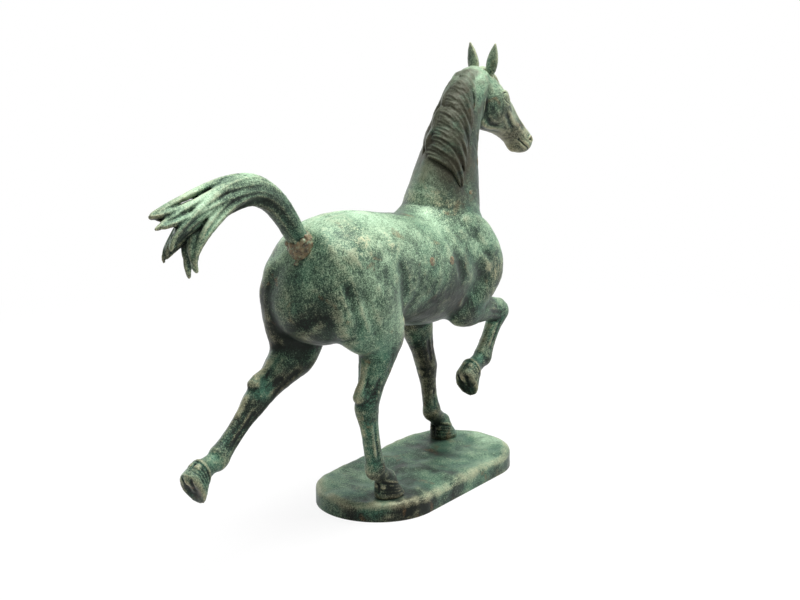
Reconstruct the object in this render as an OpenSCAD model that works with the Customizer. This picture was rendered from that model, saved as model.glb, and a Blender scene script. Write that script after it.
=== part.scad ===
// Cast bronze statuette of a trotting horse on an oval ground plate.
// +X is the way the horse goes, +Y its left side and +Z up, in millimetres.
// The origin is the middle of the plate's flat underside.

/* [Ground plate] */
// Thickness of the plate
plate_t = 13; // [11:0.5:20]
// Metal beyond the planted hooves, lengthwise
plate_end_margin = 14; // [8:1:40]
// Metal beyond the planted hooves, sideways
plate_side_margin = 12; // [8:1:30]
// Radius of the plate's upper edge
plate_edge_r = 4; // [1:0.5:7]

/* [Trunk] */
// Distance from the hip joint to the elbow
trunk_len = 120; // [105:1:140]
// Greatest width of the barrel
trunk_w = 76; // [68:1:84]
// Depth at the girth
trunk_depth = 88; // [80:1:98]
// Wall of the hollow trunk
wall = 4; // [3:0.5:7]

/* [Neck and head] */
// Length of the neck, from its root inside the trunk to the poll
neck_len = 124; // [112:1:140]
// Thickness of the neck from side to side at its root
neck_w = 50; // [46:1:56]
// Depth of the neck from crest to throat at its root
neck_depth = 72; // [64:1:80]
// Length of the head
head_len = 74; // [66:1:84]
// Width of the head across the eyes
head_w = 28; // [25:1:33]
// Depth of the head at the jaw
head_depth = 38; // [34:1:43]
// How far the face points below level, in degrees
head_drop = 40; // [32:1:48]
// How far the head turns to its right, in degrees
head_turn = 10; // [0:1:14]
// Length of an ear
ear_len = 23; // [17:1:29]
// Width of an ear
ear_w = 10; // [8:0.5:12]

/* [Hind legs] */
// Hip joint to stifle
thigh_len = 47; // [43:1:53]
// Stifle to hock
gaskin_len = 48; // [44:1:56]
// Hock to fetlock
hind_cannon_len = 46; // [40:1:54]
// Thickness of a thigh
thigh_w = 35; // [31:1:39]
// Thickness of a gaskin
gaskin_w = 25; // [22:0.5:28]
// Distance of a hind leg from the middle plane
hind_y = 21; // [19:0.5:24]
// Planted leg: thigh, gaskin, cannon and pastern, in degrees forward of straight down
planted_hind_pose = [38, -22, 12, 46]; // [-90:1:90]
// Trailing leg: thigh, gaskin, cannon and pastern
trailing_hind_pose = [-8, -60, -52, -78]; // [-90:1:90]

/* [Forelegs] */
// Elbow to knee
forearm_len = 51; // [46:1:58]
// Knee to fetlock
fore_cannon_len = 37; // [33:1:43]
// Thickness of a forearm
forearm_w = 23; // [20:0.5:26]
// Distance of a foreleg from the middle plane
fore_y = 18; // [16:0.5:21]
// Planted leg: forearm, cannon and pastern
planted_fore_pose = [20, 12, 46]; // [-90:1:90]
// Lifted leg: forearm, cannon and pastern
lifted_fore_pose = [74, -34, -70]; // [-90:1:90]

/* [Feet] */
// Thickness of a cannon at its thinnest
cannon_w = 10.4; // [9:0.2:12]
// Fetlock to coronet
pastern_len = 16; // [14:0.5:20]
// Height of a hoof
hoof_h = 12; // [10.5:0.5:15]
// Length of a hoof's sole
hoof_len = 25; // [22:0.5:29]
// Width of a hoof's sole
hoof_w = 19; // [17:0.5:23]

/* [Tail, mane and forelock] */
// Reach of the tail behind its root
tail_len = 122; // [100:1:140]
// Thickness of the tail where it is fullest
tail_w = 22; // [18:0.5:26]
// Number of locks in the mane
mane_locks = 11; // [8:1:14]
// Length of a lock of the mane
mane_lock_len = 64; // [50:1:72]
// Thickness of a lock of the mane
mane_lock_w = 12; // [9:0.5:14]
// Length of the forelock
forelock_len = 25; // [18:1:30]

/* [Joints] */
// Diameter of a leg's tenon
leg_tenon_d = 10; // [7:0.5:11]
// Length of a leg's tenon
leg_tenon_len = 15; // [11:1:17]
// Diameter of the neck's spigot
neck_spigot_d = 26; // [23:1:30]
// Length of the neck's spigot
neck_spigot_len = 14; // [10:1:18]
// Diameter of the bore that the neck and trunk share
neck_bore_d = 15; // [10:1:16]
// Diameter of the head's tenon
head_tenon_d = 10; // [7:0.5:11]
// Length of the head's tenon
head_tenon_len = 11; // [9:1:13]
// Diameter of the tail's tenon
tail_tenon_d = 7; // [5.5:0.5:8]
// Length of the tail's tenon
tail_tenon_len = 13; // [10:1:15]
// Thickness of the braze fillet round the tail's root
braze_t = 2.2; // [1.5:0.1:3.5]
// Diameter of an ear's tenon
ear_tenon_d = 3; // [2:0.5:3.5]
// Length of an ear's tenon
ear_tenon_len = 5; // [3:0.5:6]
// Diameter of the pins that lock the joints
pin_d = 4; // [2.5:0.5:4.5]
// Diameter of the dowels of the mane and forelock
dowel_d = 3; // [2:0.5:4]
// Length of those dowels
dowel_len = 9; // [7:0.5:12]
// Diameter of a core plug
plug_d = 6; // [4:0.5:8]
// Radial clearance of every tenon, pin, dowel, plug and stud
fit_clearance = 0.06; // [0.02:0.01:0.12]

/* [Hoof fixings] */
// Diameter of a hoof's stud
stud_d = 6; // [4:0.5:7]
// Width of a nut across its flats
nut_flats = 10; // [9:0.5:12]
// Thickness of a nut
nut_t = 5; // [3:0.5:6]
// Diameter of a washer
washer_d = 13; // [12:0.5:16]
// Thickness of a washer
washer_t = 1.2; // [0.8:0.2:2]

/* [Hidden] */

BRONZE = [0.36, 0.47, 0.40];
PIN_BRONZE = [0.55, 0.45, 0.30];
STEEL = [0.62, 0.63, 0.64];
LEFT = [0, 1, 0];
UP = [0, 0, 1];
far = 300;
open_end = 30;
flush_dip = 0.3;

// Smooth curves through hand-set rows

// A value between the rows of a list, at position t counted in rows
function between(rows, t) =
    let (last = len(rows) - 1, i = min(max(floor(t), 0), last - 1), f = t - i,
         a = rows[max(i - 1, 0)], b = rows[i], c = rows[i + 1], d = rows[min(i + 2, last)])
    0.5 * (2 * b + (c - a) * f + (2 * a - 5 * b + 4 * c - d) * f * f + (3 * b - a - 3 * c + d) * f * f * f);

function unit(v) = v / norm(v);
function place(row) = [row[0], row[1], row[2]];
function sided(v, side) = [v[0], v[1] * side, v[2]];
function heading(rows, t) = unit(place(between(rows, t + 0.02)) - place(between(rows, t - 0.02)));
function across(dir, side) = unit(side - dir * (side * dir));

// A point of the skin at angle a round a row of x, y, z and radius sideways, with and against the normal
function skin_point(rows, t, side, a) =
    let (r = between(rows, t), dir = heading(rows, t), s = across(dir, side), n = cross(dir, s))
    place(r) + s * (r[3] * cos(a)) + n * ((sin(a) > 0 ? r[4] : r[5]) * sin(a));

// The way out of the skin at such a point, on a form whose side is its left
function out_at(rows, t, a) =
    let (r = between(rows, t), dir = heading(rows, t), s = across(dir, LEFT), n = cross(dir, s))
    unit(s * (cos(a) / r[3]) + n * (sin(a) / (sin(a) > 0 ? r[4] : r[5])));

// A closed form swept along rows, with its rings square to the path
module form(rows, side = LEFT, sides = 14, steps = 2) {
    count = (len(rows) - 1) * steps;
    points = [for (i = [0 : count], k = [0 : sides - 1]) skin_point(rows, i / steps, side, 360 * k / sides)];
    walls = [for (i = [0 : count - 1], k = [0 : sides - 1])
        let (a = i * sides + k, b = i * sides + (k + 1) % sides)
        each [[a, b + sides, b], [a, a + sides, b + sides]]];
    first = [for (k = [0 : sides - 1]) k];
    last = [for (k = [sides - 1 : -1 : 0]) count * sides + k];
    polyhedron(points, concat(walls, [first, last]), convexity = 4);
}

// Rows of a straight form from p to q: share of the way, then the radii as shares of a width
function bone(p, q, width, rows) =
    [for (r = rows) concat(p + (q - p) * r[0], [r[1] * width, r[2] * width, r[3] * width])];

// The side radius of such a form, part of the way along
function bone_side(rows, width, share, i = 0) =
    rows[i + 1][0] >= share || i == len(rows) - 2
        ? let (a = rows[i], b = rows[i + 1]) width * (a[1] + (b[1] - a[1]) * (share - a[0]) / (b[0] - a[0]))
        : bone_side(rows, width, share, i + 1);

// Joins sculpted forms into one skin at their own size
module cast_skin() { resize([0, 0, 0]) children(); }

// Turns +Z to a direction at a point
module at(point, dir) {
    translate(point) rotate([0, acos(dir[2] / norm(dir)), atan2(dir[1], dir[0])]) children();
}

// A round cut that starts at a point and goes along a direction
module cut_along(point, dir, r, length) { at(point, dir) cylinder(r = r, h = length, $fn = 24); }

// Skeleton

function swing(angle, length) = [length * sin(angle), 0, -length * cos(angle)];
function joint_after(start, lengths, angles, count) =
    count == 0 ? start
    : joint_after(start, lengths, angles, count - 1) + swing(angles[count - 1], lengths[count - 1]);

hind_lengths = [thigh_len, gaskin_len, hind_cannon_len, pastern_len];
fore_lengths = [forearm_len, fore_cannon_len, pastern_len];
hind_drop = joint_after([0, 0, 0], hind_lengths, planted_hind_pose, 4);
fore_drop = joint_after([0, 0, 0], fore_lengths, planted_fore_pose, 3);
sole_ahead = hoof_len * 0.17;
hind_stance = hind_drop[0] + sole_ahead;
fore_stance = trunk_len + fore_drop[0] + sole_ahead;

hip = [-(hind_stance + fore_stance) / 2, 0, plate_t + hoof_h - hind_drop[2]];
elbow = [hip[0] + trunk_len, 0, plate_t + hoof_h - fore_drop[2]];
lifted_elbow = elbow + [trunk_len * 0.07, 0, trunk_depth * 0.06];

function hind_joints(pose, y) = [for (i = [0 : 4]) joint_after(hip + LEFT * y, hind_lengths, pose, i)];
function fore_joints(start, pose, y) =
    [for (i = [0 : 3]) joint_after(start + LEFT * y, fore_lengths, pose, i)];

planted_hind = hind_joints(planted_hind_pose, -hind_y);
trailing_hind = hind_joints(trailing_hind_pose, hind_y);
planted_fore = fore_joints(elbow, planted_fore_pose, fore_y);
lifted_fore = fore_joints(lifted_elbow, lifted_fore_pose, -fore_y);

hind_sole = [hip[0] + hind_stance, -hind_y, plate_t];
fore_sole = [hip[0] + fore_stance, fore_y, plate_t];

// Trunk: share of the way from hip to elbow, rise above that line, half depth and half width

trunk_profile = [
    [-0.325, -0.13, 0.03, 0.03], [-0.312, -0.13, 0.14, 0.14], [-0.275, -0.125, 0.28, 0.29],
    [-0.21, -0.105, 0.39, 0.40], [-0.11, -0.055, 0.45, 0.46], [0.03, 0.025, 0.47, 0.49],
    [0.20, 0.115, 0.455, 0.49], [0.40, 0.185, 0.43, 0.475], [0.60, 0.235, 0.43, 0.495],
    [0.80, 0.30, 0.46, 0.48], [0.98, 0.41, 0.50, 0.44], [1.12, 0.49, 0.47, 0.41],
    [1.22, 0.52, 0.40, 0.35], [1.295, 0.53, 0.29, 0.26], [1.335, 0.535, 0.16, 0.14], [1.35, 0.535, 0.03, 0.03]
];
function trunk_row(p, inset) =
    let (c = hip + (elbow - hip) * p[0] + UP * (p[1] * trunk_depth))
    concat(c, [p[3] * trunk_w - inset, p[2] * trunk_depth - inset, p[2] * trunk_depth - inset]);
trunk_rows = [for (p = trunk_profile) trunk_row(p, 0)];
core_first = 4;
core_last = 11;
core_tip_inset = trunk_w * 0.36;
core_rows = [for (i = [core_first : core_last])
    trunk_row(trunk_profile[i], i == core_first || i == core_last ? core_tip_inset : wall)];

// Neck: ahead of and above its root, then side, crest and throat radius

neck_root = elbow + [-trunk_len * 0.02, 0, trunk_depth * 0.47];
neck_profile = [
    [0.00, 0.00, 0.50, 0.40, 0.50], [0.06, 0.18, 0.50, 0.46, 0.52], [0.12, 0.36, 0.44, 0.41, 0.44],
    [0.175, 0.54, 0.36, 0.335, 0.35], [0.245, 0.71, 0.30, 0.27, 0.28], [0.33, 0.85, 0.265, 0.215, 0.235],
    [0.42, 0.93, 0.24, 0.165, 0.19], [0.47, 0.955, 0.16, 0.10, 0.12]
];
neck_rows = [for (p = neck_profile) concat(
    neck_root + [p[0], 0, p[1]] * neck_len, [p[2] * neck_w, p[3] * neck_depth, p[4] * neck_depth])];
neck_part_row = 2.2;
neck_part = place(between(neck_rows, neck_part_row));
neck_axis = heading(neck_rows, neck_part_row);
neck_cut_r = neck_depth * 0.8;
neck_bore_len = norm(neck_part - elbow) - trunk_depth * 0.30;
poll = neck_root + [0.435 * neck_len, 0, 0.905 * neck_len];

// The head parts from the neck behind the ears and the jaw
head_part_row = 4.45;
head_part = place(between(neck_rows, head_part_row));
head_part_rise = 15;
head_axis = [cos(head_part_rise), 0, sin(head_part_rise)];

// The head's own frame has +X along the face to the muzzle and +Z out of the forehead
module on_head() { translate(poll) rotate([0, head_drop, -head_turn]) children(); }

// Share of the head's length, rise, side, upper and lower radius
head_profile = [
    [-0.13, -0.04, 0.18, 0.13, 0.20], [-0.06, -0.02, 0.36, 0.28, 0.40], [0.04, 0.00, 0.45, 0.34, 0.53],
    [0.15, 0.00, 0.485, 0.36, 0.61], [0.27, 0.00, 0.50, 0.355, 0.61], [0.39, -0.01, 0.46, 0.32, 0.51],
    [0.52, -0.02, 0.38, 0.28, 0.38], [0.66, -0.03, 0.325, 0.245, 0.30], [0.78, -0.03, 0.32, 0.235, 0.275],
    [0.89, -0.04, 0.335, 0.23, 0.265], [0.96, -0.06, 0.28, 0.18, 0.21], [1.0, -0.075, 0.14, 0.09, 0.10]
];
head_rows = [for (p = head_profile)
    [p[0] * head_len, 0, p[1] * head_depth, p[2] * head_w, p[3] * head_depth, p[4] * head_depth]];
eye_at = [0.27 * head_len, 0.36 * head_w, 0.15 * head_depth];
eye_r = head_w * 0.14;
chin_at = [0.84 * head_len, 0, -0.24 * head_depth];
chin_r = head_depth * 0.13;

module head_form() {
    on_head() {
        form(head_rows, sides = 18);
        for (side = [-1, 1]) translate(sided(eye_at, side)) sphere(eye_r, $fn = 12);
        translate(chin_at) sphere(chin_r, $fn = 12);
    }
}

module neck_form() { form(neck_rows, sides = 20); }

// Legs: share of the way, then side, front and back radius as shares of the width

thigh_profile = [
    [-0.62, 0.20, 0.26, 0.29], [-0.45, 0.32, 0.53, 0.62], [-0.15, 0.45, 0.82, 0.97], [0.25, 0.50, 0.91, 1.00],
    [0.65, 0.47, 0.76, 0.85], [0.95, 0.41, 0.53, 0.65], [1.2, 0.32, 0.35, 0.46], [1.35, 0.18, 0.18, 0.24]
];
gaskin_profile = [
    [-0.25, 0.32, 0.36, 0.36], [-0.05, 0.50, 0.60, 0.68], [0.2, 0.48, 0.60, 0.68], [0.45, 0.41, 0.48, 0.54],
    [0.7, 0.33, 0.385, 0.41], [0.92, 0.30, 0.36, 0.38], [1.06, 0.255, 0.32, 0.32], [1.14, 0.16, 0.20, 0.20]
];
tendon_profile = [
    [0, 0.20, 0.20, 0.20], [0.5, 0.30, 0.32, 0.32], [0.85, 0.44, 0.46, 0.43], [1.05, 0.46, 0.48, 0.44],
    [1.2, 0.20, 0.22, 0.2]
];
hind_cannon_profile = [
    [-0.16, 0.43, 0.53, 0.53], [-0.05, 0.69, 0.87, 0.91], [0.1, 0.67, 0.83, 0.91], [0.3, 0.54, 0.65, 0.73],
    [0.6, 0.50, 0.58, 0.69], [0.84, 0.54, 0.62, 0.73], [0.98, 0.64, 0.71, 0.85], [1.1, 0.54, 0.58, 0.67],
    [1.16, 0.33, 0.35, 0.42]
];
forearm_profile = [
    [-0.3, 0.35, 0.39, 0.43], [-0.08, 0.50, 0.63, 0.70], [0.18, 0.50, 0.63, 0.70], [0.45, 0.42, 0.50, 0.52],
    [0.72, 0.34, 0.39, 0.39], [0.93, 0.33, 0.39, 0.365], [1.06, 0.285, 0.33, 0.31], [1.13, 0.17, 0.20, 0.19]
];
fore_cannon_profile = [
    [-0.18, 0.44, 0.52, 0.48], [-0.04, 0.73, 0.87, 0.77], [0.12, 0.67, 0.77, 0.75], [0.32, 0.54, 0.60, 0.65],
    [0.62, 0.50, 0.56, 0.65], [0.84, 0.54, 0.60, 0.71], [0.98, 0.64, 0.67, 0.81], [1.1, 0.54, 0.56, 0.65],
    [1.17, 0.33, 0.35, 0.40]
];
pastern_profile = [
    [-0.4, 0.35, 0.35, 0.42], [-0.1, 0.60, 0.63, 0.75], [0.3, 0.56, 0.58, 0.63], [0.7, 0.58, 0.62, 0.62],
    [1.05, 0.69, 0.77, 0.73], [1.2, 0.62, 0.69, 0.65]
];
upper_arm_profile = [
    [-0.25, 0.30, 0.35, 0.35], [-0.05, 0.52, 0.65, 0.65], [0.35, 0.59, 0.74, 0.74], [0.75, 0.57, 0.70, 0.70],
    [1.1, 0.48, 0.57, 0.57], [1.3, 0.26, 0.30, 0.30]
];
shoulder_profile = [
    [-0.15, 0.17, 0.35, 0.35], [0.05, 0.36, 0.72, 0.72], [0.35, 0.50, 0.92, 0.92], [0.7, 0.56, 0.90, 0.90],
    [1.0, 0.53, 0.70, 0.70], [1.2, 0.35, 0.39, 0.39]
];

// A hoof hangs from its coronet, with its sole square to the way that it stands
coronet_len = hoof_len * 0.66;
coronet_w = hoof_w * 0.80;
coronet_slant = 20;
sole_edge = 0.6;
module oval(length, width) { scale([length, width, 1]) cylinder(d = 1, h = sole_edge, $fn = 20); }
module hoof_form(coronet, turn) {
    translate(coronet) rotate([0, turn, 0]) hull() {
        rotate([0, coronet_slant, 0]) oval(coronet_len, coronet_w);
        translate([sole_ahead, 0, -hoof_h]) oval(hoof_len, hoof_w);
    }
}

module foot_form(joints, first, turn) {
    form(bone(joints[first], joints[first + 1], cannon_w, pastern_profile), sides = 12);
    hoof_form(joints[first + 1], turn);
}

// The point of the hock stands behind the joint, and a tendon runs down to it
module hock_form(joints) {
    along = unit(joints[2] - joints[1]);
    behind = cross(along, -LEFT);
    point = joints[2] + behind * (gaskin_w * 0.38) - along * (gaskin_w * 0.12);
    top = joints[1] + (joints[2] - joints[1]) * 0.58 + behind * (gaskin_w * 0.34);
    form(bone(top, point, cannon_w, tendon_profile), sides = 10);
}

module hind_leg_form(joints, turn) {
    form(bone(joints[1], joints[2], gaskin_w, gaskin_profile));
    hock_form(joints);
    form(bone(joints[2], joints[3], cannon_w, hind_cannon_profile), sides = 12);
    foot_form(joints, 3, turn);
}

module foreleg_form(joints, turn) {
    form(bone(joints[0], joints[1], forearm_w, forearm_profile));
    form(bone(joints[1], joints[2], cannon_w, fore_cannon_profile), sides = 12);
    foot_form(joints, 2, turn);
}

planted_turn = 0;
trailing_turn = 62;
lifted_turn = 58;

shoulder_y = trunk_w * 0.30;
module shoulder_form(start, side) {
    blade = elbow + [-trunk_len * 0.02, side * shoulder_y, trunk_depth * 0.70];
    point = start + [trunk_len * 0.20, side * shoulder_y, trunk_depth * 0.26];
    form(bone(blade, point, forearm_w, shoulder_profile));
    form(bone(point, start + LEFT * (side * fore_y), forearm_w, upper_arm_profile));
}

// Where each leg parts from the trunk: a point, the way down the limb, the side and the reach of its pin

part_share = 0.45;
function limb_axis(joints, first) = unit(joints[first + 1] - joints[first]);
function parting(joints, first, side, profile, width) = [
    joints[first] + (joints[first + 1] - joints[first]) * part_share,
    limb_axis(joints, first), side, bone_side(profile, width, part_share) - flush_dip
];
planted_hind_part = parting(planted_hind, 1, -1, gaskin_profile, gaskin_w);
trailing_hind_part = parting(trailing_hind, 1, 1, gaskin_profile, gaskin_w);
planted_fore_part = parting(planted_fore, 0, 1, forearm_profile, forearm_w);
lifted_fore_part = parting(lifted_fore, 0, -1, forearm_profile, forearm_w);
leg_parts = [planted_hind_part, trailing_hind_part, planted_fore_part, lifted_fore_part];
limb_cut_r = gaskin_w;
limb_trim_r = gaskin_w * 0.62;

// A skin runs a little past its parting face, which is then cut flat
part_slack = 2;
module above_part(p) { cut_along(p[0], -p[1], limb_cut_r, far / 5); }
module below_part(p) { cut_along(p[0], p[1], limb_trim_r, far / 5); }

// A tenon stands out of a parting face against the axis; its socket is wider by the gap
tenon_root = 8;
module tenon(point, axis, d, length) {
    at(point + axis * tenon_root, -axis) cylinder(d = d, h = length + tenon_root, $fn = 48);
}
module socket(point, axis, d, length) {
    at(point + axis, -axis) cylinder(d = d + 2 * fit_clearance, h = length + 1 + fit_clearance, $fn = 48);
}

// Leg pins go in from the outer side, across the middle of a tenon
pin_past_tenon = 2;
module leg_pin(p, gap = 0, outside = 0) {
    inner = leg_tenon_d / 2 + pin_past_tenon + gap;
    middle = p[0] - p[1] * (leg_tenon_len / 2);
    translate(middle - LEFT * (p[2] * inner)) rotate([-90 * p[2], 0, 0])
        cylinder(d = pin_d + 2 * gap, h = inner + p[3] + outside, $fn = 32);
}

// Tail: reach behind and rise above its root, radius across, below and above

tail_root = hip + [-trunk_len * 0.265, 0, trunk_depth * 0.345];
tail_profile = [
    [-0.10, -0.12, 0.26, 0.28, 0.28], [-0.01, 0.01, 0.30, 0.31, 0.31], [0.08, 0.13, 0.31, 0.32, 0.32],
    [0.19, 0.235, 0.34, 0.36, 0.34], [0.33, 0.30, 0.41, 0.45, 0.38], [0.49, 0.31, 0.47, 0.55, 0.42],
    [0.65, 0.285, 0.49, 0.60, 0.44], [0.80, 0.245, 0.42, 0.52, 0.38], [0.92, 0.215, 0.26, 0.32, 0.24],
    [1.0, 0.20, 0.06, 0.07, 0.06]
];
tail_rows = [for (p = tail_profile)
    concat(tail_root + [-p[0], 0, p[1]] * tail_len, [p[2], p[3], p[4]] * tail_w)];
tail_axis = heading(tail_rows, 1);
tail_seat = place(between(tail_rows, 0.8));

// A lock leaves the tail part way along and ends apart from it: reach, side, fall and lift of its end
tail_locks = [
    [0.86, 0.07, 0.02], [0.80, -0.08, -0.02], [0.94, -0.05, 0.10], [0.74, 0.03, -0.08], [0.97, 0.06, 0.26]
];
function tail_lock_rows(l) =
    let (start = place(between(tail_rows, 3.2)), middle = place(between(tail_rows, 5.6)),
         stop = tail_root + [-l[0] * tail_len, l[1] * tail_len, l[2] * tail_len],
         bulge = [0, l[1] * 0.45, (l[2] - 0.20) * 0.45] * tail_len)
    [concat(start, [0.16, 0.18, 0.18] * tail_w),
     concat(middle + bulge, [0.24, 0.26, 0.26] * tail_w),
     concat((middle + stop) / 2 + bulge * 0.75, [0.19, 0.21, 0.21] * tail_w),
     concat(stop, [0.04, 0.04, 0.04] * tail_w)];

module tail_form() {
    form(tail_rows);
    for (l = tail_locks) form(tail_lock_rows(l), sides = 8, steps = 3);
}

// Mane: one sheet of locks that starts left of the crest, rolls over it and streams back down the right side

mane_first = 2.65;
mane_last = 5.6;
lock_columns = 4;
lock_steps = 10;
mane_columns = mane_locks * lock_columns;
mane_start_angle = 68;
mane_roll = 112;
mane_seat_gap = 0.4;
valley_share = 0.12;
ridge_share = 0.36;
neck_row_len = neck_len * 0.18;
function crest_at(share) = mane_first + (mane_last - mane_first) * share;
function ridge(i) = sin(180 * (i % lock_columns) / lock_columns);
function lock_swell(f) = 0.60 + 0.40 * sin(180 * min(f * 1.25, 1)) - 0.25 * f;

// A point of the mane: column along the crest, share of the way down a lock, height above the neck's skin
function mane_point(i, f, height) =
    let (lock = floor(i / lock_columns), t = crest_at(i / mane_columns), r = between(neck_rows, t),
         length = mane_lock_len * (0.88 + 0.12 * sin(170 * lock)) * (0.70 + 0.30 * ridge(i)),
         a = mane_start_angle + mane_roll * (1 - exp(-f * length / (0.8 * (r[3] + r[4])))),
         along = t - (0.42 + 0.06 * sin(110 * lock)) * pow(f, 1.5) * length / neck_row_len)
    skin_point(neck_rows, along, LEFT, a) + out_at(neck_rows, along, a) * height;
function mane_height(i, f) = mane_lock_w * (valley_share + ridge_share * ridge(i)) * lock_swell(f);
mane_outside = [for (j = [0 : lock_steps], i = [0 : mane_columns])
    mane_point(i, j / lock_steps, mane_seat_gap + mane_height(i, j / lock_steps))];
mane_inside = [for (j = [0 : lock_steps], i = [0 : mane_columns])
    mane_point(i, j / lock_steps, mane_seat_gap)];
module mane_form() {
    row = mane_columns + 1;
    inner = len(mane_outside);
    outside = [for (j = [0 : lock_steps - 1], i = [0 : mane_columns - 1])
        let (a = j * row + i) each [[a, a + 1, a + row + 1], [a, a + row + 1, a + row]]];
    inside = [for (f = outside) [inner + f[2], inner + f[1], inner + f[0]]];
    rim = concat(
        [for (i = [0 : mane_columns]) i], [for (j = [1 : lock_steps]) j * row + mane_columns],
        [for (i = [mane_columns - 1 : -1 : 0]) lock_steps * row + i],
        [for (j = [lock_steps - 1 : -1 : 1]) j * row]
    );
    walls = [for (k = [0 : len(rim) - 1])
        let (a = rim[k], b = rim[(k + 1) % len(rim)]) each [[b, a, inner + a], [b, inner + a, inner + b]]];
    polyhedron(concat(mane_outside, mane_inside), concat(outside, inside, walls), convexity = 8);
}

// The forelock lies on the forehead, in the head's own frame
forelock_w = mane_lock_w * 0.36;
forelock_spread = head_w * 0.13;
function forelock_rows(side, length) =
    let (y = side * forelock_spread, x = 0.02 * head_len)
    [[-0.05 * head_len, 0, 0.30 * head_depth, 0.6 * forelock_w, 0.6 * forelock_w, 0.6 * forelock_w],
     [x, y * 0.3, 0.37 * head_depth, forelock_w, 0.8 * forelock_w, 0.8 * forelock_w],
     [x + length * 0.45, y * 0.8, 0.38 * head_depth, 0.9 * forelock_w, 0.7 * forelock_w, 0.7 * forelock_w],
     [x + length, y, 0.36 * head_depth, 0.15 * forelock_w, 0.15 * forelock_w, 0.15 * forelock_w]];
module forelock_form() {
    on_head() for (side = [-1, 0, 1])
        form(forelock_rows(side, forelock_len * (side == 0 ? 1 : 0.8)), sides = 8);
}

// Ears: leaves with a cupped front, in the head's own frame
ear_at = [head_len * 0.01, head_w * 0.25, head_depth * 0.25];
ear_axis = unit([-0.62, 0.22, 0.76]);
ear_profile = [
    [0, 0.30, 0.26, 0.26], [0.18, 0.42, 0.26, 0.34], [0.42, 0.50, 0.20, 0.34], [0.7, 0.36, 0.14, 0.26],
    [0.92, 0.14, 0.08, 0.12], [1.0, 0.04, 0.04, 0.04]
];
ear_front = unit([0.80, 0, 0.6]);
function ear_point(side, share) = sided(ear_at, side) + sided(ear_axis, side) * (ear_len * share);
module ear_form(side) {
    on_head() difference() {
        form(bone(ear_point(side, 0), ear_point(side, 1), ear_w, ear_profile), sides = 10);
        hull() for (share = [0.38, 0.80])
            translate(ear_point(side, share) + ear_front * (ear_w * 0.30))
                sphere(ear_w * (0.36 - 0.3 * share), $fn = 10);
    }
}
ear_tenon_top = 0.34;
module ear_tenon(side, gap = 0) {
    on_head() at(ear_point(side, ear_tenon_top), -sided(ear_axis, side))
        cylinder(d = ear_tenon_d + 2 * gap, h = ear_len * ear_tenon_top + ear_tenon_len + gap, $fn = 24);
}

// Whole skins, before they are parted

module trunk_form() {
    form(trunk_rows, sides = 24);
    form(bone(planted_hind[0], planted_hind[1], thigh_w, thigh_profile), sides = 16);
    form(bone(trailing_hind[0], trailing_hind[1], thigh_w, thigh_profile), sides = 16);
    shoulder_form(elbow, 1);
    shoulder_form(lifted_elbow, -1);
}

module limb_top(p) {
    intersection() {
        children();
        cut_along(p[0] + p[1] * part_slack, -p[1], limb_cut_r, far / 5);
    }
}
module limb_tops() {
    limb_top(planted_hind_part) hind_leg_form(planted_hind, planted_turn);
    limb_top(trailing_hind_part) hind_leg_form(trailing_hind, trailing_turn);
    limb_top(planted_fore_part) foreleg_form(planted_fore, planted_turn);
    limb_top(lifted_fore_part) foreleg_form(lifted_fore, lifted_turn);
}

module neck_stump() {
    intersection() {
        neck_form();
        cut_along(neck_part + neck_axis * part_slack, -neck_axis, neck_cut_r, far / 2);
    }
}

// Pins across the neck's spigot and the head's tenon

neck_pin_row = neck_part_row - neck_spigot_len / 2 / (neck_len * 0.18);
neck_pin_reach = between(neck_rows, neck_pin_row)[3] - flush_dip;
module neck_pin(side, gap = 0, outside = 0) {
    inner = neck_bore_d / 2 + 1;
    middle = neck_part - neck_axis * (neck_spigot_len / 2);
    translate(middle + LEFT * (side * (inner - gap))) rotate([-90 * side, 0, 0])
        cylinder(d = pin_d + 2 * gap, h = neck_pin_reach - inner + gap + outside, $fn = 32);
}

head_pin_reach = between(neck_rows, head_part_row)[3] - flush_dip;
module head_pin_form(gap = 0, outside = 0) {
    inner = head_tenon_d / 2 + pin_past_tenon + gap;
    translate(head_part - head_axis * (head_tenon_len / 2) - LEFT * inner) rotate([-90, 0, 0])
        cylinder(d = pin_d + 2 * gap, h = inner + head_pin_reach + outside, $fn = 32);
}

// The tail's pin goes in from behind, under the tail, and crosses its tenon
tail_pin_d = pin_d * 0.75;
tail_pin_reach = trunk_depth * 0.13;
tail_pin_axis = cross(tail_axis, LEFT);
tail_pin_at = tail_seat - tail_axis * (tail_tenon_len * 0.6);
module tail_pin_form(gap = 0, outside = 0) {
    inner = tail_tenon_d / 2 + pin_past_tenon + gap;
    at(tail_pin_at - tail_pin_axis * inner, tail_pin_axis)
        cylinder(d = tail_pin_d + 2 * gap, h = inner + tail_pin_reach + outside, $fn = 32);
}

// Dowels stand square to the crest under the middle of a lock, and one holds the forelock
dowel_shares = [for (k = [1, 3, 5]) (floor(mane_locks * k / 6) + 0.5) / mane_locks];
dowel_out = mane_lock_w * 0.2;
module dowel(point, out, gap = 0) {
    at(point + out * (dowel_out + gap), -out)
        cylinder(d = dowel_d + 2 * gap, h = dowel_len + 2 * gap, $fn = 24);
}
module mane_dowel(share, gap = 0) {
    t = crest_at(share);
    dowel(skin_point(neck_rows, t, LEFT, 90), out_at(neck_rows, t, 90), gap);
}
forelock_dowel_at = [0.06 * head_len, 0, 0.355 * head_depth];
module forelock_dowel(gap = 0) { on_head() dowel(forelock_dowel_at - UP * (dowel_out * 0.5), UP, gap); }
module all_dowels(gap = 0) {
    for (share = dowel_shares) mane_dowel(share, gap);
    forelock_dowel(gap);
}

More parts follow.
